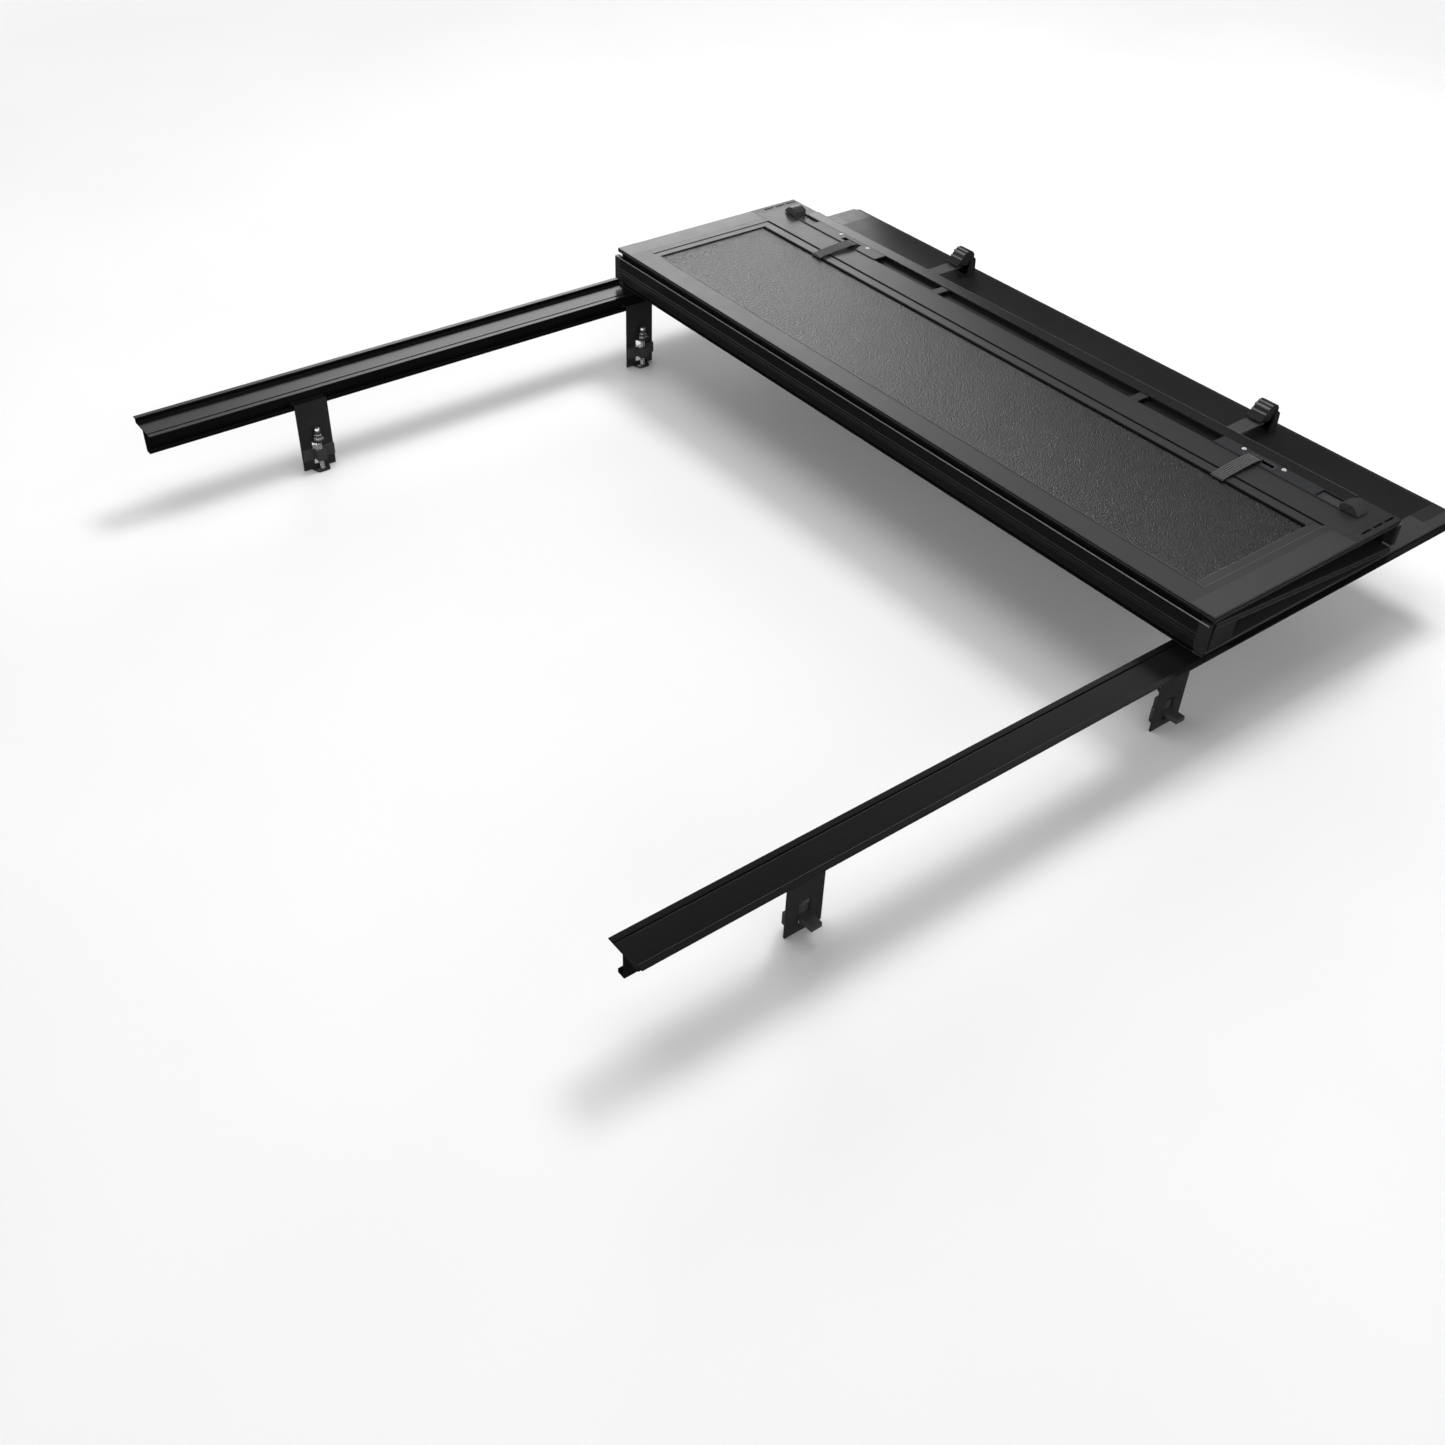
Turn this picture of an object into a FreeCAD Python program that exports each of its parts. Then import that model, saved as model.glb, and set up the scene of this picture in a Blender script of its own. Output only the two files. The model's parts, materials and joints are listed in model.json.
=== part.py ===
import FreeCAD, Part
import math
import os

# Flush-mount tri-fold hard tonneau cover, in its stowed state: the front panel
# lies in the side rails, the mid panel is folded back on top of it with its
# underside up, and the rear panel is sandwiched between them.
# Frame: +X right side, +Y towards the cab, +Z up, millimetres. The origin is
# the centre of the cover's cab-side edge, level with the rail-top plane.
# Shapes are built on the right and mirrored, or run across both sides.

# ---------------------------------------------------------------- dimensions
GAP = 0.05            # gap between butted pieces

# Stowed positions
FRONT_EDGE_Y = -6.0   # cab-side edge of the front panel
TAIL_HINGE_Y = -618.0 # hinge axes: front panel / link / mid panel
CAB_HINGE_Y = -186.0  # hinge axes: mid panel / link / rear panel
REAR_LEN = 424.0      # rear panel, hinge axis to free edge
REAR_EDGE_Y = CAB_HINGE_Y - REAR_LEN
FRONT_SKIN_Z = 3.0    # above the rail-top plane
MID_SKIN_Z = 54.0     # faces down
REAR_SKIN_Z = 14.5    # at its hinge, before it is sloped
REAR_SLOPE = 4.8      # degrees, rising towards the tailgate

# Panel section; depths are measured from the skin
PANEL_T = 10.0        # thickness at the frame
HALF_W = 717.0        # half width over the side frames
CROSS_HALF = 697.0    # half length of the cross members
CAP_IN = CROSS_HALF + 0.1  # inner face of the corner caps
SKIN_T = 1.6
SKIN_HALF = 672.0
INNER_HALF = 645.0    # half width of the frame opening
STEP_HALF = 660.0     # half width of the raised step of the frame
REBATE_T = SKIN_T + GAP
LIP_TOP, LIP_BOTTOM = 1.7, 9.0   # depths of the frame's inner lip
BOARD_BOTTOM = 7.0
EDGE_R = 0.8
GROOVE_TOP, GROOVE_BOTTOM = 3.3, 6.7   # side seal groove
GROOVE_IN = 3.0
SEAL_OUT = 0.6        # seal beyond the frame side
SEAL_END = 2.0        # seal end from the panel edge
CUT_DEPTH = 20.0      # depth at which cuts open to the underside have left the panel

# Cross member widths, edge inwards
NARROW, NARROW_LIP = 42.0, 5.0
FRONT_WIDE = 60.0     # cab-side member of the front panel
WIDE, WIDE_LIP = 110.0, 22.0   # WIDE members hold a latch channel
HINGE_INSET, PLAIN_INSET = 7.0, 3.0   # start of the skin rebate
DEEP_H, DEEP_D = 44.0, 50.0    # the rear panel's deep tailgate rail
DEEP_WALL = 2.5

# Hinges
AXIS_DEPTH = 3.0
BEAD_R = 2.05
SOCKET_R = 2.12       # 0.07 running clearance
SOCKET_OUTER_R = 3.9
SOCKET_ARC = (298.0, 520.0)    # wall of the C, degrees from inwards towards the body
NECK = 1.2            # neck between bead and link plate
LINK_HALF = 700.0
LINK_IN, LINK_OUT = 3.0, 7.0   # link plate faces, each way from the axes
LINK_END = 5.5        # link plate end from the axis
LINK_GROOVES = (0.43, 0.54)    # groove places as fractions of the axis spacing

# Latch channels, from the edge of their member
MID_CHANNEL = (27.0, 57.0)
REAR_CHANNEL = (62.0, 92.0)
CHANNEL_FLOOR = 3.2
CHANNEL_HALF = 652.0
BRIDGE_X = (231.0, 249.0)
BRIDGE_FOOT = 2.0

# Three slots in each cab-side cap of the mid panel
CAP_SLOT_Y = (-203.0, -231.0, -259.0)
CAP_SLOT_X = (704.9, 708.8)
CAP_SLOT_HALF = 11.3
CAP_SLOT_TOP = 5.0

# Latches; heights are measured outwards from the frame's underside face
PLATE_X = (407.0, 600.0)
PLATE_SLOT_X = (466.0, 515.0)
LATCH_SCREW_X = (451.0, 528.0)
LATCH_SCREW_ACROSS = -8.5      # from the channel centre
SCREW_CROSS, SCREW_CROSS_HALF_T = 2.4, 0.45   # head recess arm and half width
BOLT_TIP = 678.0
BOLT_HALF_W = 13.0
SHANK_ACROSS = (-3.2, 12.0)
BOLT_BOTTOM = -6.4
STRAP_X = (468.0, 493.0)
STRAP_T = 1.6

# Side rails
RAIL_Y = (-1574.0, -6.5)
LEDGE_IN = 661.5
LEDGE_TOP = FRONT_SKIN_Z - PANEL_T - 0.1
LEDGE_BOTTOM = LEDGE_TOP - 2.0
WALL_X = (718.5, 721.0)
FLANGE_X = 728.0
FLANGE_Z = (-1.5, 0.5)
WEB_X = (690.0, 692.5)
WEB_Z = -48.0
FOOT_X = (680.0, 682.3)        # upturned lip on the web's inner foot

# Anchor clips
ANCHOR_X, ANCHOR_Y = 651.5, -50.0
ANCHOR_HALF = 20.0
ANCHOR_Z = -12.0
ANCHOR_HOLE_R = 2.6

# Stow clips
CLIP_X = 364.0
PIN_Y, PIN_Z = -33.0, 36.0
PIN_R, PIN_HOLE_R = 2.0, 2.07
CLIP_HALF, EAR_IN = 18.5, 15.6
LEVER_HALF, CHEEK_IN = 15.0, 13.2

# Rail clamps
CLAMPS = (("front", -600.0), ("rear", -1290.0))
CLAMP_BOLT_X = 662.0
CLAMP_HALF = 30.0
BRACKET_X = (672.0, 675.0)
BRACKET_Z = (-164.0, -35.0)
BRACKET_T = 3.0
HOOK_X = (685.5, 688.0)
TAB_TOP = -103.0
THREAD_R = 4.0        # M8 clamp bolt
CLAMP_HOLE_R = 4.1
WASHER_T = 1.8
HEAD_TOP = -93.0
HEAD_R = 7.5          # hexagon, centre to corner
DOME_R = 6.2
JAW_Z = (-143.0, -122.0)
JAW_HALF = 8.6

# ---------------------------------------------------------------- tables
# Wedge of the slam bolt: x, height, corner radius
BOLT_WEDGE = [
    (644, -5.5), (644, 9.6, 1.2), (648.5, 12.2), (653.5, 14.0), (658.0, 14.8),
    (661.5, 14.7), (665.0, 13.8), (668.5, 12.1), (671.5, 9.9), (674.2, 7.2),
    (676.4, 4.3), (BOLT_TIP, 1.7, 0.3), (BOLT_TIP - 1.2, 1.2), (650.5, 1.2), (650.5, -5.5)]

# Middle line of the pull strap: distance inwards from the channel centre, height
STRAP_PATH = [
    (-0.5, -2.2), (0.5, 1.5), (5.0, 5.0), (14.0, 6.6), (30.0, 6.2), (50.0, 5.0),
    (67.0, 3.4), (82.0, 1.6), (97.0, -0.6)]

# Middle line of the stow clip lever: y from the pin, z, thickness
LEVER_PATH = [
    (1.5, PIN_Z + 3.0, 5.0), (1.4, 45.0, 4.4), (-2.0, 49.8, 4.0), (-8.0, 52.2, 4.0),
    (-14.5, 51.0, 4.2), (-20.0, 47.2, 4.4), (-25.5, 41.6, 4.4), (-31.0, 36.0, 4.2),
    (-36.0, 32.4, 3.6), (-40.5, 31.0, 2.8)]
# Lower side of the lever's cheeks: y from the pin, z
CHEEK_LOWER = [(-33.0, 30.6), (-24.0, 27.4), (-10.0, 26.8), (-3.0, PIN_Z - 4.0)]
# Ribs across the lever: y from the pin, z, radius
LEVER_RIBS = [(-14.8, 52.8, 1.7), (-21.2, 48.6, 2.7), (-28.6, 41.0, 1.9)]

# Side rail section: x, z, corner radius
RAIL_SECTION = [
    (LEDGE_IN, LEDGE_BOTTOM), (LEDGE_IN, LEDGE_TOP, 0.5),
    (670.5, LEDGE_TOP), (671.1, LEDGE_TOP - 1.0),
    (672.9, LEDGE_TOP - 1.0), (673.5, LEDGE_TOP),
    (WALL_X[0], LEDGE_TOP, 0.6), (WALL_X[0], FLANGE_Z[1], 0.7),
    (FLANGE_X, FLANGE_Z[1], 0.8), (FLANGE_X, FLANGE_Z[0]),
    (WALL_X[1], FLANGE_Z[0]), (WALL_X[1], LEDGE_BOTTOM),
    (WEB_X[1], LEDGE_BOTTOM, 0.6), (WEB_X[1], WEB_Z),
    (FOOT_X[0], WEB_Z), (FOOT_X[0], WEB_Z + 7.0),
    (FOOT_X[1], WEB_Z + 7.0), (FOOT_X[1], WEB_Z + 2.5, 0.6),
    (WEB_X[0], WEB_Z + 2.5, 0.6), (WEB_X[0], LEDGE_BOTTOM, 0.6)]


# ---------------------------------------------------------------- helpers
vec = FreeCAD.Vector
ALONG_X = (1, 0, 0)
UP = (0, 0, 1)


def outline_face(points, to_3d):
    """Closed face from (u, v) or (u, v, radius) points; a radius rounds its corner."""
    flat = [vec(point[0], point[1], 0) for point in points]
    corners = []   # start, arc middle or None, end
    for i, point in enumerate(points):
        corner = flat[i]
        radius = point[2] if len(point) > 2 else 0.0
        if radius <= 0:
            corners.append((corner, None, corner))
            continue
        to_last = (flat[i - 1] - corner).normalize()
        to_next = (flat[(i + 1) % len(flat)] - corner).normalize()
        half_angle = to_last.getAngle(to_next) / 2.0
        setback = radius / math.tan(half_angle)
        bisector = (to_last + to_next).normalize()
        corners.append((corner + to_last * setback,
                        corner + bisector * (radius / math.sin(half_angle) - radius),
                        corner + to_next * setback))
    edges = []
    for i, (start, middle, end) in enumerate(corners):
        if middle is not None:
            edges.append(Part.Arc(to_3d(start), to_3d(middle), to_3d(end)).toShape())
        next_start = corners[(i + 1) % len(corners)][0]
        if (next_start - end).Length > 1e-6:
            edges.append(Part.makeLine(to_3d(end), to_3d(next_start)))
    return Part.Face(Part.Wire(edges))


def prism_x(points, x_lo, x_hi):
    return outline_face(points, lambda p: vec(x_lo, p.x, p.y)).extrude(vec(x_hi - x_lo, 0, 0))


def prism_y(points, y_lo, y_hi):
    return outline_face(points, lambda p: vec(p.x, y_lo, p.y)).extrude(vec(0, y_hi - y_lo, 0))


def prism_z(points, z_lo, z_hi):
    return outline_face(points, lambda p: vec(p.x, p.y, z_lo)).extrude(vec(0, 0, z_hi - z_lo))


def box(*limits):
    """Box from two x, two y and two z limits, each two in either order."""
    low = [min(limits[i:i + 2]) for i in (0, 2, 4)]
    high = [max(limits[i:i + 2]) for i in (0, 2, 4)]
    return Part.makeBox(high[0] - low[0], high[1] - low[1], high[2] - low[2], vec(*low))


def rod(base, direction, radius, length):
    return Part.makeCylinder(radius, length, vec(*base), vec(*direction))


def cleaned(shape):
    """Merge coplanar faces and unwrap a compound of one solid."""
    merged = shape.removeSplitter()
    if merged.ShapeType == "Compound" and len(merged.Solids) == 1:
        return merged.Solids[0]
    return merged


def union(shape, *others):
    for other in others:
        shape = shape.fuse(other)
    return cleaned(shape)


def cut(shape, *tools):
    for tool in tools:
        shape = shape.cut(tool)
    return cleaned(shape)


def mirror(shape):
    return shape.mirror(vec(0, 0, 0), vec(1, 0, 0))


def with_mirrors(*shapes):
    return [side for shape in shapes for side in (shape, mirror(shape))]


def both_sides(*shapes):
    return Part.makeCompound(with_mirrors(*shapes))


def band_outline(path, first_side):
    """Outline of a band along (u, v, thickness) stations. It starts on the
    left of the path for first_side +1 and on the right for -1."""
    first, second = [], []
    for i, (along, up, thickness) in enumerate(path):
        before = path[max(i - 1, 0)]
        after = path[min(i + 1, len(path) - 1)]
        tangent = vec(after[0] - before[0], after[1] - before[1], 0).normalize()
        shift = tangent * (first_side * thickness / 2)
        first.append((along - shift.y, up + shift.x))
        second.append((along + shift.y, up - shift.x))
    return first + second[::-1]


# ------------------------------------------------------- panel construction
class Panel:
    """A panel whose body lies below (way -1) or above (way +1) its skin."""

    def __init__(self, skin_z, way, slope=0.0):
        self.skin_z = skin_z
        self.way = way
        self.slope = slope

    def z(self, depth):
        return self.skin_z + self.way * depth

    def place(self, shape):
        """Turn a shape built level to the panel's slope, about the cab-side hinge."""
        if not self.slope:
            return shape
        turned = shape.copy()
        turned.rotate(vec(0, CAB_HINGE_Y, self.z(AXIS_DEPTH)), vec(1, 0, 0), -self.slope)
        return turned

    def both_sides(self, *shapes):
        return Part.makeCompound([self.place(shape) for shape in with_mirrors(*shapes)])

    def block(self, x_lo, x_hi, y_lo, y_hi, top, bottom):
        return box(x_lo, x_hi, y_lo, y_hi, self.z(top), self.z(bottom))

    def side_frame(self, y_lo, y_hi):
        lip_x = INNER_HALF + GAP
        skin_x = SKIN_HALF + GAP
        groove_x = HALF_W - GROOVE_IN
        # x, depth, corner radius
        section = [(lip_x, LIP_TOP), (skin_x, LIP_TOP), (skin_x, 0), (HALF_W, 0, 0.6),
                   (HALF_W, GROOVE_TOP, 0.4), (groove_x, GROOVE_TOP),
                   (groove_x, GROOVE_BOTTOM), (HALF_W, GROOVE_BOTTOM, 0.4),
                   (HALF_W, PANEL_T, EDGE_R), (STEP_HALF, PANEL_T, 0.3),
                   (STEP_HALF, LIP_BOTTOM), (lip_x, LIP_BOTTOM)]
        return prism_y([(p[0], self.z(p[1])) + p[2:] for p in section], y_lo, y_hi)


class PanelEdge:
    """One edge of a panel and its cross member. Distances across run from
    the edge inwards; inward is the direction of that along Y."""

    def __init__(self, panel, y, inward, width, lip, inset):
        self.panel = panel
        self.y = y
        self.inward = inward
        self.width = width
        self.lip = lip
        self.inset = inset

    def at(self, across):
        return self.y + self.inward * across

    def prism(self, points, x_lo, x_hi):
        """Prism from (across, depth, radius) points."""
        return prism_x([(self.at(p[0]), self.panel.z(p[1])) + tuple(p[2:]) for p in points],
                       x_lo, x_hi)

    def block(self, x_lo, x_hi, start, end, top, bottom):
        return self.panel.block(x_lo, x_hi, self.at(start), self.at(end), top, bottom)

    def inner_lip(self):
        return self.block(-INNER_HALF, INNER_HALF, self.width - 0.5,
                          self.width + self.lip - GAP, LIP_TOP, LIP_BOTTOM)

    def skin_rebate(self):
        return self.block(-SKIN_HALF - GAP, SKIN_HALF + GAP, self.inset,
                          self.width + self.lip + 5, -1, REBATE_T)

    def seal_groove(self):
        return self.block(HALF_W - GROOVE_IN, HALF_W + 1, -1, self.width + 1,
                          GROOVE_TOP, GROOVE_BOTTOM)

    def channel(self, span):
        return self.block(-CHANNEL_HALF, CHANNEL_HALF, span[0], span[1],
                          CHANNEL_FLOOR, CUT_DEPTH)

    def cap(self, outline):
        """Right-hand corner cap with an outline function of the member's width."""
        body = self.prism(outline(self.width - GAP), CAP_IN, HALF_W)
        return cut(body, self.seal_groove())

    def socket(self):
        """C-shaped hinge socket along the member."""
        start, end = SOCKET_ARC
        middle = (start + end) / 2.0

        def point(radius, degrees):
            angle = math.radians(degrees)
            return vec(-CROSS_HALF, self.at(radius * math.cos(angle)),
                       self.panel.z(AXIS_DEPTH + radius * math.sin(angle)))

        def arc(radius, *angles):
            return Part.Arc(*[point(radius, angle) for angle in angles]).toShape()

        wire = Part.Wire([
            arc(SOCKET_OUTER_R, start, middle, end),
            Part.makeLine(point(SOCKET_OUTER_R, end), point(SOCKET_R, end)),
            arc(SOCKET_R, end, middle, start),
            Part.makeLine(point(SOCKET_R, start), point(SOCKET_OUTER_R, start))])
        return Part.Face(wire).extrude(vec(2 * CROSS_HALF, 0, 0))

    def hinge_member(self):
        body = self.prism(hinge_outline(self.width), -CROSS_HALF, CROSS_HALF)
        member = union(body, self.socket(), self.inner_lip())
        return cut(member, self.skin_rebate())


# Member outlines: across, depth, corner radius
def hinge_outline(width):
    return [(0.3, 6.6), (0.3, PANEL_T, EDGE_R), (width, PANEL_T), (width, 0),
            (3.7, 0, 0.4), (3.7, 6.6)]


def plain_outline(width):
    return [(0, 0, EDGE_R), (0, PANEL_T, EDGE_R), (width, PANEL_T), (width, 0)]


def deep_outline(width):
    return [(0, 0, EDGE_R), (0, DEEP_H, 2.0), (DEEP_D, DEEP_H - 4.0, 2.0),
            (DEEP_D, PANEL_T, 2.0), (width, PANEL_T), (width, 0)]


def field_pieces(name, tail, cab):
    """Side frames, skin, board and side seals between a tailgate-side and a
    cab-side edge."""
    panel = tail.panel
    board_half = INNER_HALF - 0.1
    side = panel.side_frame(tail.at(tail.width + GAP), cab.at(cab.width + GAP))
    skin = panel.block(-SKIN_HALF, SKIN_HALF, tail.at(tail.inset + GAP),
                       cab.at(cab.inset + GAP), 0, SKIN_T)
    board = panel.block(-board_half, board_half, tail.at(tail.width + tail.lip),
                        cab.at(cab.width + cab.lip), REBATE_T, BOARD_BOTTOM)
    seal = panel.block(HALF_W - GROOVE_IN + GAP, HALF_W + SEAL_OUT, tail.at(SEAL_END),
                       cab.at(SEAL_END), GROOVE_TOP + 0.1, GROOVE_BOTTOM - 0.1)
    return {name + "_side_frames": panel.both_sides(side),
            name + "_top_skin": panel.place(skin),
            name + "_infill_board": panel.place(board),
            name + "_side_seals": panel.both_sides(seal)}


FRONT = Panel(FRONT_SKIN_Z, -1)
MID = Panel(MID_SKIN_Z, 1)
REAR = Panel(REAR_SKIN_Z, -1, REAR_SLOPE)

FRONT_TAIL = PanelEdge(FRONT, TAIL_HINGE_Y, 1, NARROW, NARROW_LIP, HINGE_INSET)
FRONT_CAB = PanelEdge(FRONT, FRONT_EDGE_Y, -1, FRONT_WIDE, WIDE_LIP, PLAIN_INSET)
MID_TAIL = PanelEdge(MID, TAIL_HINGE_Y, 1, NARROW, NARROW_LIP, HINGE_INSET)
MID_CAB = PanelEdge(MID, CAB_HINGE_Y, -1, WIDE, WIDE_LIP, HINGE_INSET)
REAR_TAIL = PanelEdge(REAR, REAR_EDGE_Y, 1, WIDE, WIDE_LIP, PLAIN_INSET)
REAR_CAB = PanelEdge(REAR, CAB_HINGE_Y, -1, NARROW, NARROW_LIP, HINGE_INSET)


# ------------------------------------------------------- front panel
def front_cab_member():
    body = FRONT_CAB.prism(plain_outline(FRONT_WIDE), -CROSS_HALF, CROSS_HALF)
    member = union(body, FRONT_CAB.inner_lip())
    member = cut(member, FRONT_CAB.skin_rebate())
    for x in (ANCHOR_X, -ANCHOR_X):
        hole = rod((x, ANCHOR_Y, FRONT.z(PANEL_T + 1)), UP, ANCHOR_HOLE_R, 6.5)
        member = cut(member, hole)
    return member


def front_panel():
    pieces = field_pieces("front", FRONT_TAIL, FRONT_CAB)
    pieces["front_frame_front"] = front_cab_member()
    pieces["front_frame_rear"] = FRONT_TAIL.hinge_member()
    pieces["front_corner_caps"] = both_sides(FRONT_CAB.cap(plain_outline),
                                             FRONT_TAIL.cap(hinge_outline))
    return pieces


# ------------------------------------------------------- mid panel, underside up
def mid_cab_cap():
    cap = MID_CAB.cap(hinge_outline)
    for y in CAP_SLOT_Y:
        cap = cut(cap, MID.block(*CAP_SLOT_X, y - CAP_SLOT_HALF, y + CAP_SLOT_HALF,
                                 CAP_SLOT_TOP, CUT_DEPTH))
    return cap


def mid_latch_rail():
    """Cover strip on the bar between the channel and the hinge."""
    start, top = MID_CHANNEL[0], PANEL_T + 1.2
    return MID_CAB.prism([(start, PANEL_T), (start, top, 0.4), (0.6, top, 0.8),
                          (0.6, PANEL_T)], -640, 640)


def channel_bridge():
    """Small bridge over the open channel, with a foot at each side."""
    start, end = MID_CHANNEL[0] + 0.1, MID_CHANNEL[1] - 0.1
    foot_depths = (CHANNEL_FLOOR + 0.1, 8.5)
    return union(MID_CAB.block(*BRIDGE_X, end, start, 8.4, 9.9),
                 MID_CAB.block(*BRIDGE_X, end, end - BRIDGE_FOOT, *foot_depths),
                 MID_CAB.block(*BRIDGE_X, start + BRIDGE_FOOT, start, *foot_depths))


def mid_panel():
    pieces = field_pieces("mid", MID_TAIL, MID_CAB)
    pieces["mid_frame_rear"] = MID_TAIL.hinge_member()
    pieces["mid_frame_front"] = cut(MID_CAB.hinge_member(), MID_CAB.channel(MID_CHANNEL))
    pieces["mid_corner_caps"] = both_sides(MID_TAIL.cap(hinge_outline), mid_cab_cap())
    pieces["mid_latch_rail"] = mid_latch_rail()
    pieces["mid_channel_clips"] = both_sides(channel_bridge())
    return pieces


# ------------------------------------------------------- rear panel
def rear_tail_member():
    """Wide member with the hollow deep rail at the free edge."""
    body = REAR_TAIL.prism(deep_outline(WIDE), -CROSS_HALF, CROSS_HALF)
    member = union(body, REAR_TAIL.inner_lip())
    far = DEEP_D - DEEP_WALL
    hollow = REAR_TAIL.prism([(DEEP_WALL, 4.2, 1), (DEEP_WALL, DEEP_H - 2.8, 1),
                              (far, DEEP_H - 6.4, 1), (far, 4.2, 1)],
                             -CROSS_HALF - 1, CROSS_HALF + 1)
    return cut(member, REAR_TAIL.skin_rebate(), hollow, REAR_TAIL.channel(REAR_CHANNEL))


def rear_edge_seal():
    return REAR_TAIL.prism([(4, DEEP_H - 0.3), (4, DEEP_H + 1.4, 0.6),
                            (16, DEEP_H + 0.4, 0.6), (16, DEEP_H - 1.25)],
                           -HALF_W + 2, HALF_W - 2)


def rear_panel():
    pieces = field_pieces("rear", REAR_TAIL, REAR_CAB)
    pieces["rear_frame_front"] = REAR.place(REAR_CAB.hinge_member())
    pieces["rear_frame_rear"] = REAR.place(rear_tail_member())
    pieces["rear_corner_caps"] = REAR.both_sides(REAR_CAB.cap(hinge_outline),
                                                 REAR_TAIL.cap(deep_outline))
    pieces["rear_edge_seal"] = REAR.place(rear_edge_seal())
    return pieces


# ------------------------------------------------------- hinge links
class HingeLink:
    """Upright link between two hinge axes. Its outer side faces outward:
    +1 cab side, -1 tailgate side."""

    def __init__(self, y, z_low, z_high, outward):
        self.y = y
        self.z_low = z_low
        self.z_high = z_high
        self.outward = outward

    def plate(self, x_lo, x_hi, grooves=()):
        inner = self.y - self.outward * LINK_IN
        outer = self.y + self.outward * LINK_OUT
        floor = outer - self.outward * 0.8
        low, high = self.z_low + LINK_END, self.z_high - LINK_END
        points = [(inner, low, 0.6), (outer, low, 1.5)]
        for fraction in grooves:
            z = self.z_low + (self.z_high - self.z_low) * fraction
            points += [(outer, z - 0.8), (floor, z - 0.4), (floor, z + 0.4), (outer, z + 0.8)]
        points += [(outer, high, 1.5), (inner, high, 0.6)]
        return prism_x(points, x_lo, x_hi)

    def core(self, x_lo, x_hi, inner, outer, end):
        return box(x_lo, x_hi, self.y - self.outward * inner, self.y + self.outward * outer,
                   self.z_low + end, self.z_high - end)

    def link(self):
        """Hollow plate with a neck and a bead at both axes."""
        half = LINK_HALF
        neck = (-half, half, self.y - NECK / 2, self.y + NECK / 2)
        link = union(self.plate(-half, half, LINK_GROOVES),
                     box(*neck, self.z_low + 1.2, self.z_low + 6.5),
                     box(*neck, self.z_high - 6.5, self.z_high - 1.2),
                     rod((-half, self.y, self.z_low), ALONG_X, BEAD_R, 2 * half),
                     rod((-half, self.y, self.z_high), ALONG_X, BEAD_R, 2 * half))
        return cut(link, self.core(-half - 1, half + 1, 0.8, 4.2, 8.5))

    def end_cap(self):
        plug = self.core(LINK_HALF - 12, LINK_HALF + 0.2, 0.6, 4.0, 8.7)
        return union(self.plate(LINK_HALF + 0.1, HALF_W), plug)


def hinge_links():
    mid_axis_z = MID.z(AXIS_DEPTH)
    links = {"front": HingeLink(TAIL_HINGE_Y, FRONT.z(AXIS_DEPTH), mid_axis_z, -1),
             "rear": HingeLink(CAB_HINGE_Y, REAR.z(AXIS_DEPTH), mid_axis_z, 1)}
    pieces = {}
    for name, hinge in links.items():
        pieces[name + "_hinge_link"] = hinge.link()
        pieces[name + "_hinge_end_caps"] = both_sides(hinge.end_cap())
    return pieces


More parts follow.
